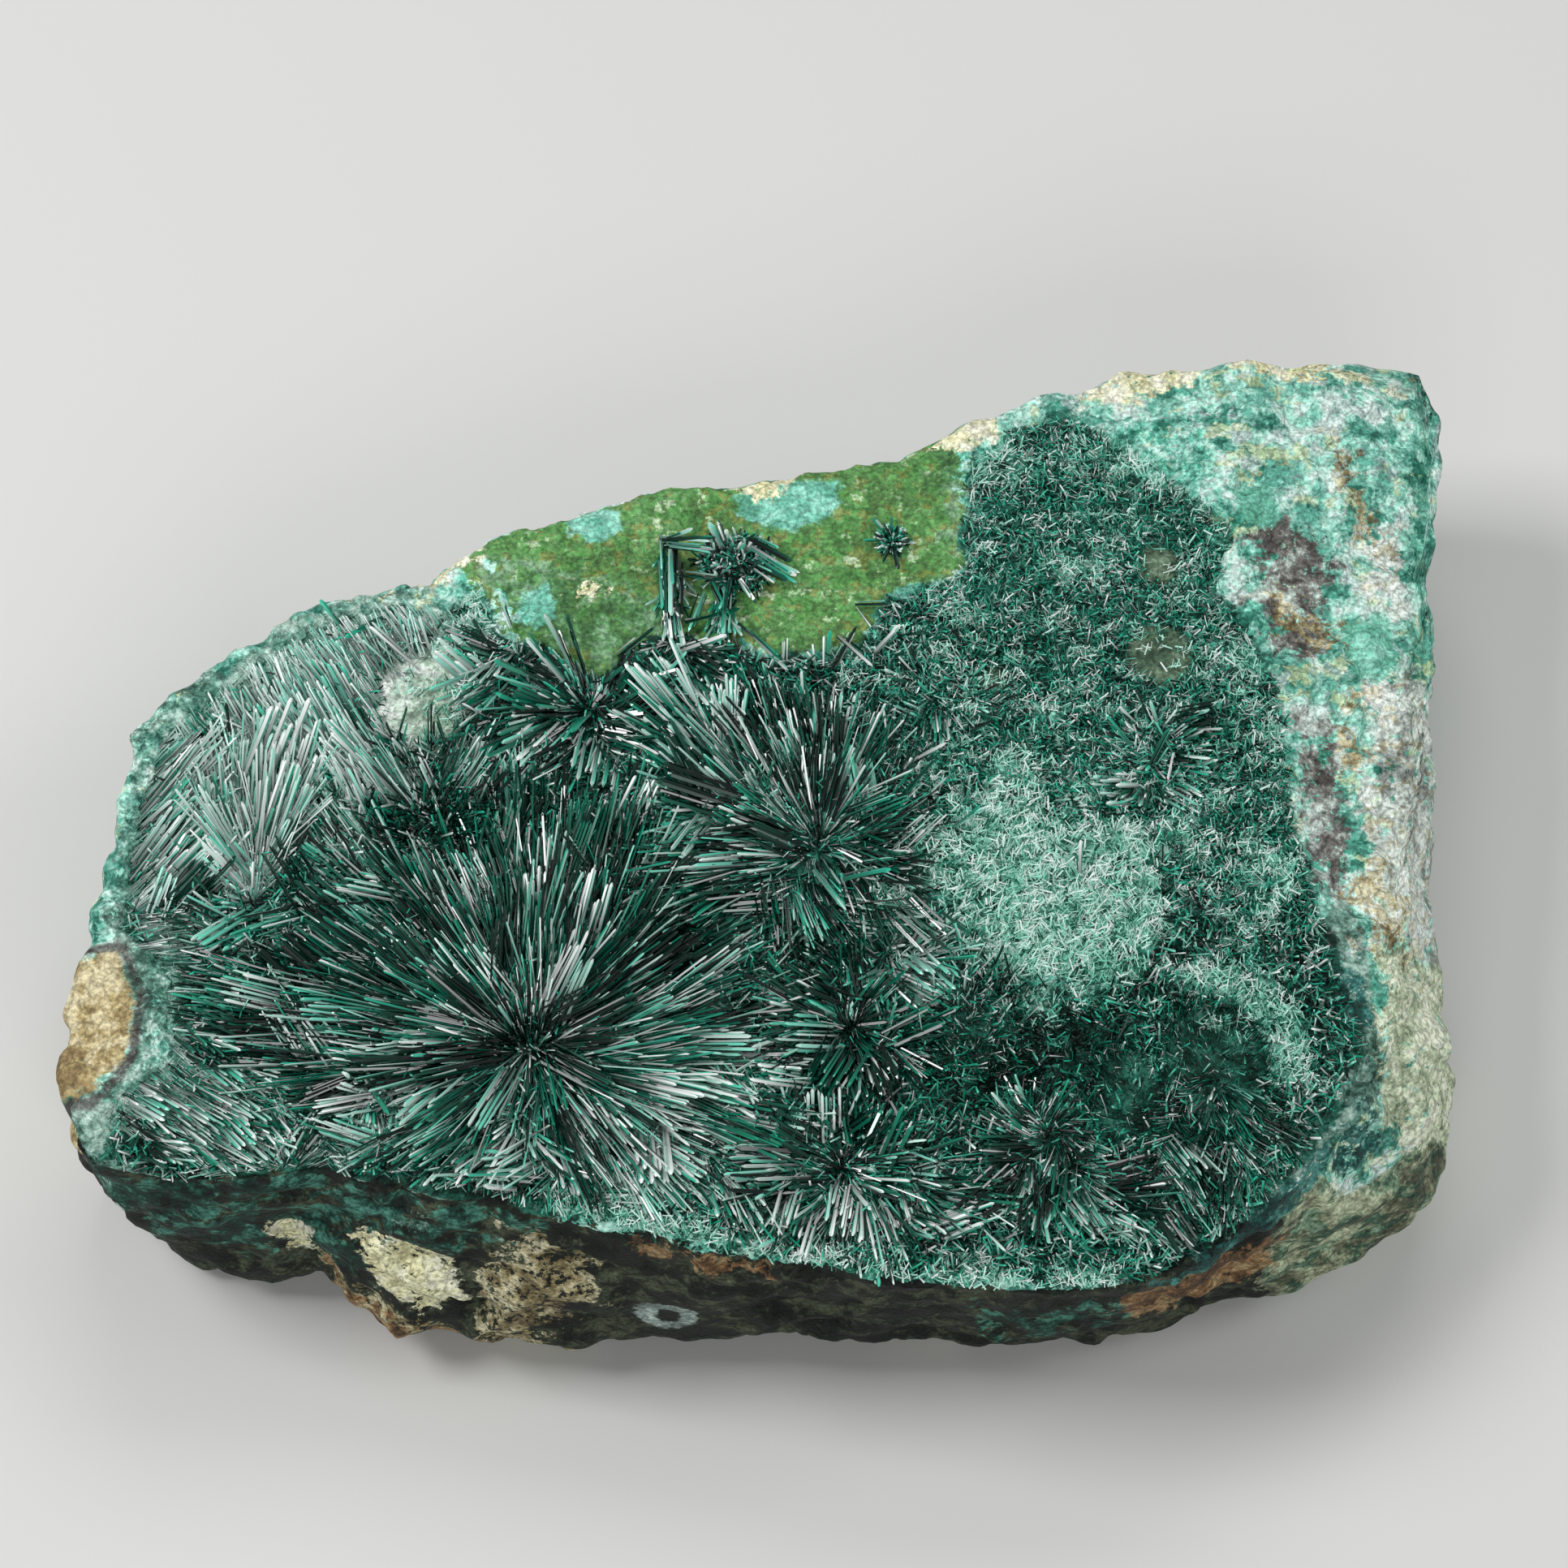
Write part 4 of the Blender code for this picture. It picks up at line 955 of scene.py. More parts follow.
def ray_crystals(points, generator, scale=1.0, slim=1.0, lift=0.9, tone=0.25, spread=0.3):
    """Crystals of the sprays and bundles, pointing along the growth.

    They stand up within a few millimetres of a spray's centre and lie low outside it.  All
    those in one patch swing a little to one side together, as broken bundles do.
    """
    flow = growth_flow(points)
    inside = (flow.share < 1.0) & ((flow.side > -0.42) | (flow.reach > 13.0))
    points = points[inside]
    flow = kept(flow, inside)
    count = len(points)
    _, patch = cells(flat3(points), 0.38, 73)
    swing = 0.28 * (patch - 0.5) + 0.12 * fractal(flat3(points), 0.3, 2, 43)
    swing += generator.normal(0.0, 0.05, count)
    swing += smooth(0.8, 1.0, flow.share) * generator.normal(0.0, 0.3, count)
    swing[flow.steep] += generator.normal(0.0, 0.9, count)[flow.steep]
    bearing = flow.bearing + swing
    heart = np.radians(80.0) * (1.0 - smooth(0.02, 0.15, flow.away / flow.reach))
    tilt = np.maximum(heart, flow.tilt) + generator.normal(0.0, 0.06, count)
    tilt += 0.12 * (patch - 0.5) + 0.05 * wave(flow.streaks, 1.0, 45)
    tilt += 0.3 * flow.side.clip(-0.3, 1.0) * (flow.reach < 13.0)
    way = heading(bearing, tilt)
    length = flow.length * generator.uniform(0.5, 1.6, count) * scale
    length *= 0.4 + 0.6 * smooth(1.0, 7.0, flow.away)
    length *= 1.0 - 0.35 * smooth(0.8, 1.0, flow.share)
    width = flow.width * generator.uniform(0.45, 1.15, count) * slim
    foot = points - way[:, :2] * 0.4 * length[:, None]
    layer = 0.5 + 0.5 * fractal(flow.streaks, 0.8, 2, 47)
    rise = lift * (0.75 * layer + 0.45 * generator.random(count)) - 0.12
    height = carpet_ground(foot[:, 0], foot[:, 1]) + rise
    roll = 1.9 * fractal(flow.streaks, 0.7, 2, 79) + 2.2 * patch
    roll += generator.normal(0.0, 0.2, count)
    tone = tone + spread * fractal(flow.streaks, 1.0, 3, 49)
    tone += 0.2 * fractal(flat3(points), 0.5, 3, 81) + 0.30 * (flow.pale - 0.25)
    tone += generator.normal(0.0, 0.16, count)
    # Painted shade: crystals near a spray's centre are darkened, for the shade in its hub
    tone -= 0.3 * (1.0 - smooth(0.05, 0.2, flow.away / flow.reach))
    # Pale tones: partly real pale crystals, partly painted white glints
    pale_and_glint = generator.random(count) < 0.06 + 0.70 * flow.pale**1.2
    tone = np.where(pale_and_glint, generator.uniform(0.81, 1.0, count), tone)
    made = growth(np.column_stack([foot, height]), way, length, width, roll, tone.clip(0.05, 0.95))
    ends = made.foot + made.way * made.length[:, None]
    within = depth_inside(ends[:, :2], CARPET_OUTLINE) > -0.5
    return kept(made, within & (depth_inside(foot, CARPET_OUTLINE) > -0.2))


def accent_crystals(generator):
    """Bundles of parallel thick prisms side by side on top of the sprays."""
    points = scattered(3.1, generator, CARPET_OUTLINE, 2.0)
    flow = growth_flow(points)
    chosen = (flow.share < 0.95) & (flow.away > 4.0) & ~flow.steep
    points = points[chosen]
    flow = kept(flow, chosen)
    each = 9
    count = len(points) * each
    pick = np.repeat(np.arange(len(points)), each)
    bearing = (flow.bearing + generator.normal(0.0, 0.16, len(points)))[pick]
    bearing = bearing + generator.normal(0.0, 0.025, count)
    size = generator.uniform(0.8, 1.35, len(points))[pick]
    width = (0.85 * flow.width)[pick] * size * generator.uniform(0.6, 1.3, count)
    length = (0.95 * flow.length)[pick] * size * generator.uniform(0.4, 1.15, count)
    across = (np.tile(np.arange(each), len(points)) - 0.5 * (each - 1)) * 0.8 * width
    along = generator.uniform(-1.3, 1.3, count)
    side = turned(bearing + 0.5 * math.pi)
    foot = points[pick] + side * across[:, None] + turned(bearing) * along[:, None]
    tilt = (flow.tilt + generator.normal(0.03, 0.05, len(points)))[pick]
    foot = foot - turned(bearing) * 0.5 * length[:, None]
    height = carpet_ground(foot[:, 0], foot[:, 1]) + generator.uniform(0.55, 1.0, count)
    roll = generator.uniform(0.0, math.pi, len(points))[pick] + generator.normal(0, 0.12, count)
    tone = generator.uniform(0.10, 0.42, len(points))[pick] + generator.normal(0, 0.06, count)
    # Pale tones for some bundles: partly real pale prisms, partly painted white glints
    bright = generator.random(len(points))[pick] < 0.12 + 0.55 * flow.pale[pick]
    tone = np.where(bright, generator.uniform(0.72, 1.0, count), tone)
    way = heading(bearing, tilt)
    made = growth(np.column_stack([foot, height]), way, length, width, roll, tone)
    ends = made.foot + made.way * made.length[:, None]
    return kept(made, depth_inside(ends[:, :2], CARPET_OUTLINE) > 0.0)


def filler_crystals(points, generator, length, width, tilt, tones, shares, spread, seed, comb=0):
    """Crystals that grow every way round, leaning out of the ground by about the tilt.

    They are of a few kinds, each with its tone and its share of the whole.  Combed ones lie
    along a bearing that swings slowly over the plane, about to the right.
    """
    count = len(points)
    bearing = generator.uniform(0.0, math.tau, count)
    if comb:
        bearing = bearing * (1.0 - comb) + 2.0 * fractal(flat3(points), 0.16, 2, seed + 4) - 0.5
    lean = np.radians(tilt) + generator.normal(0.0, 0.3, count)
    way = heading(bearing, lean.clip(0.02, 1.5))
    long = length * generator.uniform(0.5, 1.35, count)
    thick = width * generator.uniform(0.6, 1.35, count)
    height = carpet_ground(points[:, 0], points[:, 1]) + generator.uniform(0.0, 0.75, count)
    shade = generator.choice(tones, count, p=shares) + generator.normal(0.0, 0.05, count)
    shade = shade + spread * fractal(flat3(points), 0.5, 3, seed)
    # Painted shade: crystals in the shaded hollows are darkened
    for x, y, radius in SHADED_HOLLOWS:
        shade -= 0.5 * np.exp(-((points - (x, y)) ** 2).sum(-1) / radius**2)
    foot = points - way[:, :2] * 0.4 * long[:, None]
    roll = generator.uniform(0.0, math.tau, count)
    return growth(np.column_stack([foot, height]), way, long, thick, roll, shade.clip(0.03, 0.97))


def named_prisms(rows, tones, generator):
    """Single prisms from a table of x, y, bearing, length, width, rise and tilt, each of one of
    the tones."""
    x, y, bearing, length, width, rise, tilt = np.array(rows, float).T
    ground = np.where(
        depth_inside(np.column_stack([x, y]), CARPET_OUTLINE) > 0.0,
        carpet_ground(x, y), bare_top(x, y),
    )
    foot = np.column_stack([x, y, ground + rise])
    way = heading(np.radians(bearing), np.radians(tilt))
    shade = generator.choice(tones, len(x)) + generator.normal(0.0, 0.05, len(x))
    return growth(foot, way, length, width, generator.uniform(0.0, 3.0, len(x)), shade.clip(0.1, 0.95))


def with_neighbours(crystals, generator, each=3):
    """The crystals and beside each a few thinner, shorter ones that lie almost parallel."""
    pick = np.repeat(np.arange(len(crystals.foot)), each)
    near = kept(crystals, pick)
    count = len(pick)
    near.foot = near.foot + generator.normal(0.0, 0.24, (count, 3)) + near.way * 0.3
    near.way = unit(near.way + generator.normal(0.0, 0.05, (count, 3)))
    near.length = near.length * generator.uniform(0.45, 0.95, count)
    near.width = near.width * generator.uniform(0.35, 0.65, count)
    near.roll = near.roll + generator.normal(0.0, 0.6, count)
    near.tone = generator.choice((0.15, 0.4, 0.66, 0.92), count)
    return joined(crystals, near)


def arch_crystals(generator):
    """The arched cluster: named prisms for its legs, beam and arms, round a dense head of
    short prisms that point every way."""
    named = with_neighbours(named_prisms(ARCH_PRISMS, (0.2, 0.6, 0.88), generator), generator)
    count = 900
    bearing = generator.uniform(0.0, math.tau, count)
    radius = 2.8 * np.sqrt(generator.random(count))
    tilt = generator.uniform(-0.1, 1.0, count)
    foot = np.column_stack([
        ARCH_CENTRE[0] + 1.15 * radius * np.cos(bearing),
        ARCH_CENTRE[1] + 0.3 + radius * np.sin(bearing),
        SEAT_FLOOR + generator.uniform(1.2, 3.0, count) - 0.3 * radius,
    ])
    length = generator.uniform(0.6, 1.5, count)
    width = generator.uniform(0.18, 0.38, count)
    tone = generator.choice((0.15, 0.45, 0.7, 0.92), count, p=(0.3, 0.25, 0.22, 0.23))
    roll = generator.uniform(0.0, 3.0, count)
    any_way = 0.5 * bearing + generator.uniform(-2.4, 2.4, count)
    head = growth(foot, heading(any_way, tilt), length, width, roll, tone)
    legs = 150
    side = generator.integers(0, 2, legs)
    along = generator.random(legs)
    foot = np.column_stack([
        np.where(side == 0, -9.9, -4.6) + generator.normal(0.0, 0.4, legs),
        np.where(side == 0, 26.8, 23.0) - along * np.where(side == 0, 8.0, 4.4),
        SEAT_FLOOR + 0.9 + generator.uniform(0.0, 1.4, legs) * (1.0 - 0.5 * along),
    ])
    way = heading(np.radians(generator.normal(270.0, 20.0, legs)), generator.normal(0.0, 0.2, legs))
    long = generator.uniform(1.4, 3.2, legs)
    thick = generator.uniform(0.22, 0.42, legs)
    shade = generator.choice((0.3, 0.6, 0.9), legs)
    fringe = growth(foot, way, long, thick, generator.uniform(0.0, 3.0, legs), shade)
    return joined(named, head, fringe)


def rosette_crystals(generator):
    """The small star: eight long spikes and a dense head of short ones."""
    degrees = np.array([128.0, 92.0, 182.0, 350.0, 278.0, 250.0, 40.0, 214.0])
    reach = np.array([3.0, 2.7, 2.9, 2.4, 3.6, 3.0, 1.8, 1.9])
    centre = np.array([*ROSETTE_CENTRE, SEAT_FLOOR + 1.8])
    tilt = generator.uniform(0.05, 0.2, len(degrees))
    long = growth(
        np.tile(centre - (0, 0, 0.2), (len(degrees), 1)), heading(np.radians(degrees), tilt),
        reach - 0.4, 0.46, generator.uniform(0.0, 3.0, len(degrees)),
        generator.choice((0.25, 0.5, 0.85), len(degrees)),
    )
    count = 200
    bearing = generator.uniform(0.0, math.tau, count)
    lean = np.arcsin(generator.uniform(0.0, 1.0, count))
    length = generator.uniform(1.0, 1.9, count)
    width = generator.uniform(0.18, 0.34, count)
    tone = generator.choice((0.15, 0.45, 0.7, 0.92), count, p=(0.3, 0.25, 0.22, 0.23))
    roll = generator.uniform(0.0, 3.0, count)
    foot = np.tile(centre - (0, 0, 0.8), (count, 1))
    return joined(long, growth(foot, heading(bearing, lean), length, width, roll, tone))


# Meshes

def make_piece(name, places, faces, material, node, corner_map=None, fields=None):
    """Put arrays in millimetres into a mesh in metres that rides on the one body."""
    mesh = bpy.data.meshes.new(name)
    loops = np.concatenate([face.reshape(-1) for face in faces])
    sizes = np.concatenate([np.full(len(face), face.shape[1]) for face in faces])
    starts = np.concatenate([[0], np.cumsum(sizes)[:-1]])
    mesh.vertices.add(len(places))
    mesh.vertices.foreach_set("co", (places * MM).astype(np.float32).reshape(-1))
    mesh.loops.add(len(loops))
    mesh.loops.foreach_set("vertex_index", loops.astype(np.int32))
    mesh.polygons.add(len(sizes))
    mesh.polygons.foreach_set("loop_start", starts.astype(np.int32))
    if corner_map is not None:
        layer = mesh.uv_layers.new(name="OFBake")
        layer.uv.foreach_set("vector", corner_map.astype(np.float32).reshape(-1))
    for field, values in (fields or {}).items():
        made = mesh.attributes.new(field, "FLOAT", "POINT")
        made.data.foreach_set("value", values.astype(np.float32))
    mesh.update(calc_edges=True)
    mesh.validate()
    mesh.materials.append(material)
    piece = bpy.data.objects.new(name, mesh)
    bpy.context.scene.collection.objects.link(piece)
    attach(piece, "root")
    if node:
        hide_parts(node)
    return piece


def make_crystals(name, mesh_of, crystals, material, node=None):
    """One piece of many crystals, each face flat."""
    places, faces, corner_map = mesh_of(crystals)
    piece = make_piece(name, places, faces, material, node, corner_map)
    piece.data.shade_flat()
    return piece


# Materials

class Finish:
    """A material under construction: short calls that add and link its nodes."""

    def __init__(self, name):
        self.material = bpy.data.materials.new(name)
        self.material.use_nodes = True
        self.nodes = self.material.node_tree.nodes
        self.links = self.material.node_tree.links
        self.shader = self.nodes["Principled BSDF"]

    def link(self, source, target):
        """Link an output to an input."""
        self.links.new(source, target)

    def node(self, kind, **values):
        """Add a node; values are its properties, or its inputs by name with _ for a space."""
        made = self.nodes.new(kind)
        for name, value in values.items():
            if hasattr(made, name):
                setattr(made, name, value)
            else:
                made.inputs[name.replace("_", " ")].default_value = value
        return made

    def object_place(self):
        """Object coordinates."""
        return self.node("ShaderNodeTexCoord").outputs["Object"]

    def noise(self, place, scale, detail=5.0, roughness=0.6, distortion=0.0):
        """Noise at a place, with scale in cycles per metre."""
        made = self.node("ShaderNodeTexNoise", Scale=scale, Detail=detail, Roughness=roughness)
        made.inputs["Distortion"].default_value = distortion
        self.link(place, made.inputs["Vector"])
        return made.outputs["Fac"]

    def ramp(self, factor, stops):
        """Colour ramp over (position, colour) stops."""
        made = self.node("ShaderNodeValToRGB")
        ramp = made.color_ramp
        ramp.elements[0].position, ramp.elements[0].color = stops[0][0], (*stops[0][1], 1.0)
        ramp.elements[1].position, ramp.elements[1].color = stops[-1][0], (*stops[-1][1], 1.0)
        for position, colour in stops[1:-1]:
            ramp.elements.new(position).color = (*colour, 1.0)
        self.link(factor, made.inputs["Fac"])
        return made.outputs["Color"]

    def math(self, operation, first, second):
        """A sum, product or the like of two outputs or numbers."""
        made = self.node("ShaderNodeMath", operation=operation)
        for socket, value in zip(made.inputs, (first, second)):
            if isinstance(value, (int, float)):
                socket.default_value = value
            else:
                self.link(value, socket)
        return made.outputs[0]

    def remap(self, value, low, high, to_low=0.0, to_high=1.0):
        """Smooth step of a value from one range to another."""
        made = self.node("ShaderNodeMapRange", interpolation_type="SMOOTHSTEP")
        for name, number in (("From Min", low), ("From Max", high), ("To Min", to_low)):
            made.inputs[name].default_value = number
        made.inputs["To Max"].default_value = to_high
        self.link(value, made.inputs["Value"])
        return made.outputs["Result"]

    def mix(self, factor, under, over):
        """Mix of two colours."""
        made = self.node("ShaderNodeMix", data_type="RGBA")
        self.link(factor, made.inputs["Factor"])
        self.link(under, made.inputs["A"])
        self.link(over, made.inputs["B"])
        return made.outputs["Result"]

    def attribute(self, name):
        """A field stored on the mesh."""
        return self.node("ShaderNodeAttribute", attribute_name=name).outputs["Fac"]


# Ore coats from the lowest up: field, dark, middle and pale tone, edge raggedness in mm,
# and how much of the field is left bare, from 0 to 1
ORE_COATS = [
    ("top", (0.13, 0.46, 0.35), (0.44, 0.88, 0.72), (0.82, 1.0, 0.93), 0.8, 0.0),
    ("patina", (0.02, 0.17, 0.12), (0.10, 0.42, 0.31), (0.30, 0.66, 0.53), 0.8, 0.62),
    ("patina", (0.40, 0.56, 0.32), (0.64, 0.84, 0.56), (0.88, 0.97, 0.78), 0.8, 0.84),
    ("patina", (0.22, 0.38, 0.34), (0.48, 0.70, 0.64), (0.78, 0.93, 0.88), 0.8, 0.78),
    ("malachite", (0.003, 0.015, 0.011), (0.012, 0.075, 0.052), (0.10, 0.32, 0.24), 3.0, 0.40),
    ("right_side", (0.08, 0.09, 0.052), (0.27, 0.31, 0.19), (0.60, 0.68, 0.46), 2.5, 0.0),
    ("right_side", (0.02, 0.06, 0.04), (0.08, 0.17, 0.10), (0.28, 0.42, 0.28), 2.5, 0.60),
    ("olive", (0.085, 0.20, 0.055), (0.125, 0.34, 0.100), (0.20, 0.44, 0.17), 1.2, 0.0),
    ("olive", (0.07, 0.22, 0.055), (0.11, 0.34, 0.085), (0.16, 0.42, 0.13), 1.2, 0.60),
    ("olive", (0.10, 0.17, 0.035), (0.17, 0.25, 0.06), (0.25, 0.34, 0.11), 1.2, 0.74),
    ("olive", (0.26, 0.44, 0.20), (0.42, 0.62, 0.34), (0.60, 0.78, 0.50), 1.2, 0.96),
    ("grey_olive", (0.05, 0.15, 0.045), (0.11, 0.29, 0.11), (0.27, 0.47, 0.28), 3.0, 0.3),
    ("moss", (0.03, 0.09, 0.065), (0.17, 0.35, 0.28), (0.46, 0.66, 0.57), 2.2, 0.1),
    ("lilac", (0.30, 0.33, 0.31), (0.64, 0.72, 0.66), (0.92, 1.0, 0.93), 2.6, 0.25),
    ("lilac", (0.30, 0.27, 0.17), (0.56, 0.54, 0.38), (0.82, 0.82, 0.66), 2.6, 0.74),
    ("brown", (0.085, 0.074, 0.068), (0.26, 0.26, 0.235), (0.72, 0.86, 0.78), 2.4, 0.1),
    ("turquoise", (0.12, 0.44, 0.30), (0.20, 0.60, 0.45), (0.36, 0.80, 0.64), 1.1, 0.0),
    # The ground under the crystals is coloured near black as painted shade between them
    ("ground", (0.003, 0.022, 0.014), (0.010, 0.095, 0.062), (0.06, 0.28, 0.20), 1.2, 0.0),
    ("pale_bed", (0.03, 0.14, 0.10), (0.20, 0.46, 0.36), (0.66, 0.88, 0.79), 2.4, 0.30),
    ("bald", (0.05, 0.10, 0.06), (0.12, 0.20, 0.12), (0.22, 0.32, 0.22), 0.5, 0.0),
    ("mint", (0.02, 0.22, 0.14), (0.22, 0.72, 0.55), (0.64, 1.0, 0.88), 2.2, 0.40),
    ("powder", (0.34, 0.48, 0.36), (0.68, 0.84, 0.70), (0.95, 1.0, 0.95), 2.6, 0.0),
    ("cream", (0.76, 0.73, 0.42), (0.98, 0.97, 0.64), (1.0, 0.99, 0.82), 2.0, 0.10),
    ("crack", (0.03, 0.03, 0.028), (0.09, 0.09, 0.08), (0.20, 0.22, 0.20), 0.5, 0.0),
    ("sand", (0.27, 0.19, 0.08), (0.48, 0.38, 0.18), (0.74, 0.66, 0.42), 1.0, 0.0),
    ("knob", (0.34, 0.42, 0.27), (0.70, 0.80, 0.56), (0.95, 1.0, 0.80), 2.4, 0.10),
    ("ochre", (0.14, 0.105, 0.04), (0.42, 0.36, 0.19), (0.78, 0.74, 0.50), 3.0, 0.35),
    ("rust", (0.08, 0.045, 0.020), (0.28, 0.15, 0.060), (0.46, 0.34, 0.18), 2.4, 0.10),
    ("teal", (0.006, 0.040, 0.036), (0.02, 0.13, 0.11), (0.10, 0.33, 0.29), 1.4, 0.2),
    ("ring", (0.20, 0.27, 0.25), (0.42, 0.53, 0.49), (0.74, 0.86, 0.80), 0.8, 0.0),
]
# Bare rock, seen mostly on the walls: its own dark colour made darker as painted shade
WALL_TONES_WITH_PAINTED_SHADE = ((0.003, 0.005, 0.004), (0.013, 0.021, 0.014), (0.085, 0.105, 0.062))


def ore_finish():
    """Altered ore: fine-grained rock under coats of copper minerals.  Where bare it is near
    black: its own dark colour, made darker still as painted shade on the walls.

    Each coat ends where its field plus noise drops below nought and has bare places of its
    own.  Tones follow mottling at three scales, grains darken and lighten them, and cracks
    between small cells are darkened as painted shade in the crevices.
    """
    finish = Finish("altered_ore")
    layered = finish.node("ShaderNodeMapping")
    layered.inputs["Scale"].default_value = (1.0, 1.0, 1.4)
    finish.link(finish.object_place(), layered.inputs["Vector"])
    place = layered.outputs["Vector"]
    grain = finish.noise(place, 2300.0, 3.0, 0.6)
    mottle = finish.noise(place, 560.0, 5.0, 0.70, 0.1)
    broad = finish.noise(place, 150.0, 3.0, 0.5, 0.2)
    ragged = finish.noise(place, 300.0, 6.0, 0.74)
    blend = finish.math("ADD", finish.math("MULTIPLY", mottle, 0.6), finish.math("MULTIPLY", broad, 0.4))
    spots = finish.remap(blend, 0.40, 0.60)
    edge = finish.math("SUBTRACT", ragged, 0.5)

    def tones(dark, middle, pale):
        return finish.ramp(spots, [(0.0, dark), (0.5, middle), (1.0, pale)])

    colour = tones(*WALL_TONES_WITH_PAINTED_SHADE)
    for number, (field, dark, middle, pale, raggedness, bare) in enumerate(ORE_COATS):
        ragged_edge = finish.math("MULTIPLY", edge, 5.0 * raggedness)
        depth = finish.math("ADD", finish.attribute(field), ragged_edge)
        cover = finish.remap(depth, -0.25, 0.3)
        if bare:
            holes = finish.noise(place, 170.0 + 43.0 * number, 4.0, 0.66)
            low = 0.34 + 0.26 * bare
            cover = finish.math("MULTIPLY", cover, finish.remap(holes, low, low + 0.05))
        colour = finish.mix(cover, colour, tones(dark, middle, pale))
    cracks = finish.node("ShaderNodeTexVoronoi", feature="DISTANCE_TO_EDGE", Scale=620.0)
    bent = finish.node("ShaderNodeVectorMath", operation="MULTIPLY_ADD")
    wobble = finish.node("ShaderNodeTexNoise", Scale=900.0, Detail=3.0)
    finish.link(place, wobble.inputs["Vector"])
    finish.link(wobble.outputs["Color"], bent.inputs[0])
    bent.inputs[1].default_value = (0.0016, 0.0016, 0.0016)
    finish.link(place, bent.inputs[2])
    finish.link(bent.outputs[0], cracks.inputs["Vector"])
    # Painted shade: the cracks between small cells are darkened; the grain's flecks are the rock's own
    # tone
    gap = finish.remap(cracks.outputs["Distance"], 0.0, 0.12, 0.68, 1.0)
    shade = finish.math("MULTIPLY", gap, finish.remap(grain, 0.34, 0.66, 0.68, 1.32))
    shaded = finish.node("ShaderNodeVectorMath", operation="SCALE")
    finish.link(colour, shaded.inputs[0])
    finish.link(shade, shaded.inputs["Scale"])
    finish.link(shaded.outputs[0], finish.shader.inputs["Base Color"])
    finish.link(finish.remap(blend, 0.4, 0.6, 0.58, 0.86), finish.shader.inputs["Roughness"])
    finish.shader.inputs["Specular IOR Level"].default_value = 0.3
    height = finish.math("ADD", finish.math("MULTIPLY", blend, 1.4), finish.math("MULTIPLY", gap, 0.35))
    height = finish.math("ADD", height, finish.math("MULTIPLY", grain, 0.45))
    bump = finish.node("ShaderNodeBump", Distance=0.0006)
    calm = finish.math("MAXIMUM", finish.attribute("sand"), finish.attribute("olive"))
    finish.link(finish.remap(calm, -0.5, 0.5, 1.0, 0.5), bump.inputs["Strength"])
    finish.link(height, bump.inputs["Height"])
    finish.link(bump.outputs["Normal"], finish.shader.inputs["Normal"])
    return finish.material


def crystal_finish(name, tones, rough, ior, foot):
    """Glassy crystals whose colour and gloss follow their own map: tone across, height up.

    Towards each crystal's foot the colour is darkened as painted shade; foot is the share
    of the tone left at the very foot.
    """
    finish = Finish(name)
    split = finish.node("ShaderNodeSeparateXYZ")
    own_map = finish.node("ShaderNodeUVMap", uv_map="OFBake")
    finish.link(own_map.outputs["UV"], split.inputs["Vector"])
    across, up = split.outputs["X"], split.outputs["Y"]
    body = finish.ramp(across, tones)
    # Painted shade: darker towards each crystal's foot, from foot times the tone up to the full tone
    grey = [(0.0, (foot,) * 3), (0.4, (0.3 + 0.7 * foot,) * 3), (0.85, (1.0,) * 3)]
    colour = finish.node("ShaderNodeMix", data_type="RGBA", blend_type="MULTIPLY")
    colour.inputs["Factor"].default_value = 1.0
    finish.link(body, colour.inputs["A"])
    finish.link(finish.ramp(up, grey), colour.inputs["B"])
    finish.link(colour.outputs["Result"], finish.shader.inputs["Base Color"])
    finish.link(finish.remap(across, 0.2, 0.9, *rough), finish.shader.inputs["Roughness"])
    finish.shader.inputs["IOR"].default_value = ior
    return finish.material


# Crystal tones, near black to near white; the whitish end is partly painted white glints
GREEN_TONES = [
    (0.0, (0.001, 0.004, 0.003)), (0.22, (0.002, 0.022, 0.014)), (0.38, (0.003, 0.110, 0.066)),
    (0.54, (0.005, 0.31, 0.185)), (0.68, (0.030, 0.60, 0.40)), (0.80, (0.20, 0.70, 0.54)),
    (0.90, (0.55, 0.76, 0.68)), (1.0, (0.95, 0.98, 0.96)),
]
MINT_TONES = [
    (0.0, (0.003, 0.030, 0.020)), (0.2, (0.02, 0.22, 0.14)), (0.45, (0.24, 0.74, 0.56)),
    (0.70, (0.56, 0.98, 0.83)), (1.0, (0.93, 1.0, 0.97)),
]


# Studio

def soft_panel(name, place, size, power, target=(0.0, 0.0, 20.0)):
    """A rectangular area light that faces the target; place and size are in millimetres."""
    data = bpy.data.lights.new(name, "AREA")
    data.shape = "RECTANGLE"
    data.size, data.size_y = size[0] * MM, size[1] * MM
    data.energy = power
    panel = bpy.data.objects.new(name, data)
    panel.location = Vector(place) * MM
    aim = (Vector(target) - Vector(place)).normalized()
    panel.rotation_mode = "QUATERNION"
    panel.rotation_quaternion = aim.to_track_quat("-Z", "Y")
    bpy.context.scene.collection.objects.link(panel)
    return panel


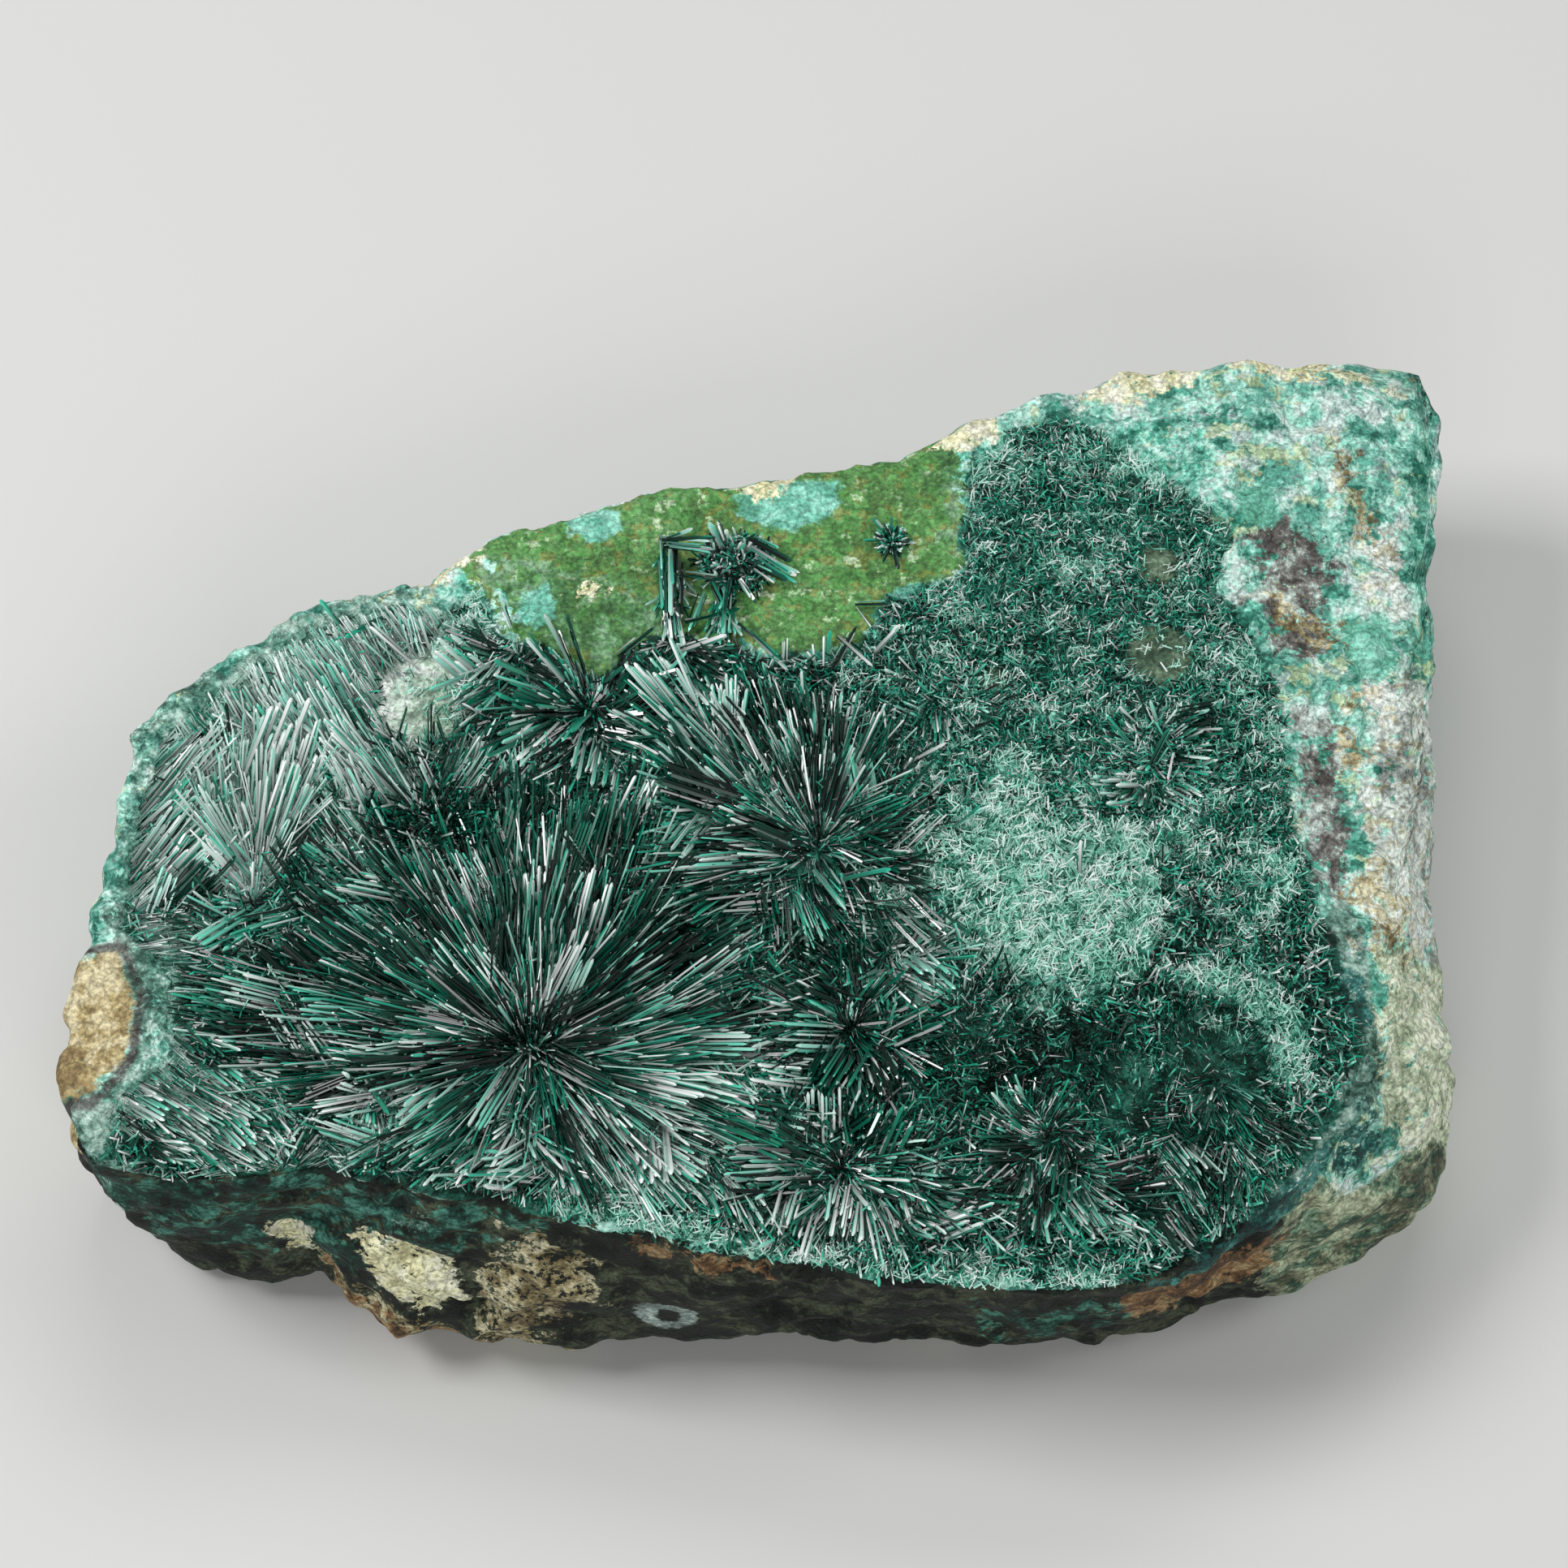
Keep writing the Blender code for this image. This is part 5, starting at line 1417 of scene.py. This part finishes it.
def make_studio():
    """Pale floor, soft panels all round and a dim grey world."""
    mesh = bpy.data.meshes.new("studio_floor")
    side = FLOOR_HALF * MM
    corners = [(-side, -side, 0), (side, -side, 0), (side, side, 0), (-side, side, 0)]
    mesh.from_pydata(corners, [], [(0, 1, 2, 3)])
    floor = bpy.data.objects.new("studio_floor", mesh)
    finish = Finish("pale_floor")
    finish.shader.inputs["Base Color"].default_value = (*FLOOR_TONE, 1.0)
    finish.shader.inputs["Roughness"].default_value = 0.7
    mesh.materials.append(finish.material)
    bpy.context.scene.collection.objects.link(floor)
    soft_panel("key_panel", (-420, 60, 560), (270, 270), 2.7)
    soft_panel("far_panel", (60, 430, 640), (460, 260), 1.2)
    soft_panel("right_panel", (520, 40, 380), (240, 300), 0.9)
    soft_panel("near_panel", (40, -540, 420), (420, 220), 1.1)
    world = bpy.data.worlds.new("studio_world")
    world.use_nodes = True
    background = world.node_tree.nodes["Background"]
    background.inputs["Color"].default_value = (0.94, 0.97, 1.0, 1.0)
    background.inputs["Strength"].default_value = 0.16
    bpy.context.scene.world = world


def make_camera():
    """Camera on the photograph's line of sight."""
    data = bpy.data.cameras.new("photo_camera")
    data.lens = CAMERA_LENS
    data.sensor_width = 36.0
    data.clip_start, data.clip_end = 0.01, 10.0
    camera = bpy.data.objects.new("photo_camera", data)
    rise = math.radians(CAMERA_ELEVATION)
    back = Vector((0.0, -math.cos(rise), math.sin(rise)))
    camera.location = (Vector(CAMERA_TARGET) + back * CAMERA_DISTANCE) * MM
    camera.rotation_mode = "QUATERNION"
    camera.rotation_quaternion = (-back).to_track_quat("-Z", "Y")
    bpy.context.scene.collection.objects.link(camera)
    bpy.context.scene.camera = camera


# Assembly

def build_slab():
    """The ore slab in place of its solid, with the ground that the crystals stand on."""
    places, faces, fields, corner_map = slab_mesh()
    slab = make_piece(
        "ore_slab", places, faces, ore_finish(), "host_rock", corner_map, fields
    )
    slab.data.shade_smooth()
    return slab


def off_bald_spots(points):
    """Points outside the few bare spots and, save for a few, off the powdery patch."""
    clear = [np.hypot(points[:, 0] - x, points[:, 1] - y) > r for x, y, r in BALD_SPOTS]
    powder = depth_in_any(points, POWDER_PATCHES) + 2.4 * fractal(flat3(points), 0.4, 3, 93)
    return points[np.all(clear, axis=0) & (powder < 0.4)]


def build_crystals():
    """All crystals, in pieces by kind."""
    generator = np.random.default_rng(SEED)
    # Each finish's last number is the painted shade at the crystals' feet: the share of tone left
    green = crystal_finish("atacamite_green", GREEN_TONES, (0.10, 0.36), 1.83, 0.28)
    fine = crystal_finish("atacamite_fine", GREEN_TONES, (0.22, 0.38), 1.5, 0.36)
    mint = crystal_finish("mint_fibres", MINT_TONES, (0.55, 0.7), 1.35, 0.88)

    for side, name in ((-1, "left"), (1, "right")):
        points = off_bald_spots(scattered(0.52, generator))
        points = points[((points[:, 0] + 12.0) * side > 0.0) & (mint_depth(points) < 1.2)]
        bundled = fractal(growth_flow(points).streaks, 0.6, 2, 97)
        points = points[bundled > generator.normal(-0.04, 0.16, len(points))]
        rays = ray_crystals(points, generator, 1.1, 0.80, 0.85, 0.28, 0.25)
        node = "crystal_carpet" if side < 0 else None
        make_crystals(name + "_prisms", prism_mesh, rays, green, node)
        points = off_bald_spots(scattered(0.32, generator))
        points = points[(points[:, 0] + 12.0) * side > 0.0]
        points = points[mint_depth(points) < generator.normal(1.0, 2.5, len(points))]
        thin = ray_crystals(points, generator, 0.50, 0.45, 0.80, 0.50, 0.45)
        make_crystals(name + "_needles", blade_mesh, thin, fine)
    loose = with_neighbours(named_prisms(LOOSE_PRISMS, (0.3, 0.6, 0.9), generator), generator, 2)
    accents = joined(accent_crystals(generator), loose)
    make_crystals("thick_prisms", prism_mesh, accents, green)

    field = off_bald_spots(scattered(0.29, generator, DRUSE_FIELD, -0.8))
    field = field[carpet_edge(field) > 0.1]
    field = field[mint_depth(field) < generator.normal(1.0, 1.0, len(field))]
    druse = filler_crystals(
        field, generator, 1.0, 0.17, 24.0, (0.20, 0.52, 0.72, 0.95), (0.22, 0.32, 0.36, 0.10), 0.25, 63
    )
    make_crystals("druse_needles", blade_mesh, druse, fine)

    everywhere = off_bald_spots(scattered(0.40, generator))
    gaps = everywhere[growth_flow(everywhere).share > 0.80]
    gaps = gaps[(depth_inside(gaps, DRUSE_FIELD) < 0.5) & (mint_depth(gaps) < 1.0)]
    mixed = filler_crystals(
        gaps, generator, 1.5, 0.22, 20.0, (0.14, 0.48, 0.70, 0.93), (0.30, 0.28, 0.28, 0.14), 0.4, 65
    )
    crumbs = off_bald_spots(scattered(1.0, generator))
    crumbs = crumbs[(mint_depth(crumbs) < 0.0) & (depth_inside(crumbs, DRUSE_FIELD) < 0.0)]
    crumbs = filler_crystals(
        crumbs, generator, 0.8, 0.20, 12.0, (0.15, 0.62, 0.80, 0.95), (0.3, 0.35, 0.2, 0.15), 0.2, 67
    )
    crumbs.foot[:, 2] += 0.65
    make_crystals("mixed_needles", blade_mesh, joined(mixed, crumbs), fine)

    mat = scattered(0.27, generator)
    depth = mint_depth(mat) + generator.normal(0.0, 0.9, len(mat))
    depth += 9.0 * fractal(flat3(mat) * np.array([0.5, 1.3, 1.0]), 0.42, 4, 95, 0.7)
    mat = mat[depth > 0.0]
    fibres = filler_crystals(
        mat, generator, 1.0, 0.15, 18.0, (0.10, 0.56, 0.80, 0.95), (0.17, 0.27, 0.36, 0.20), 0.65, 69,
        0.5
    )
    fine_mottle = 0.6 * fractal(flat3(mat) * np.array([0.6, 1.3, 1.0]), 0.9, 3, 99)
    fibres.tone = (fibres.tone + fine_mottle).clip(0.03, 0.97)
    make_crystals("mint_mat", blade_mesh, fibres, mint)

    make_crystals("arch_prisms", prism_mesh, arch_crystals(generator), green, "arch_cluster")
    star = rosette_crystals(generator)
    make_crystals("rosette_prisms", prism_mesh, star, green, "small_rosette")


def set_tones():
    """Plain view transform, so that the dark crystals keep their contrast."""
    view = bpy.context.scene.view_settings
    view.view_transform = "Standard"
    view.look = "None"


build_slab()
build_crystals()
make_studio()
make_camera()
set_tones()
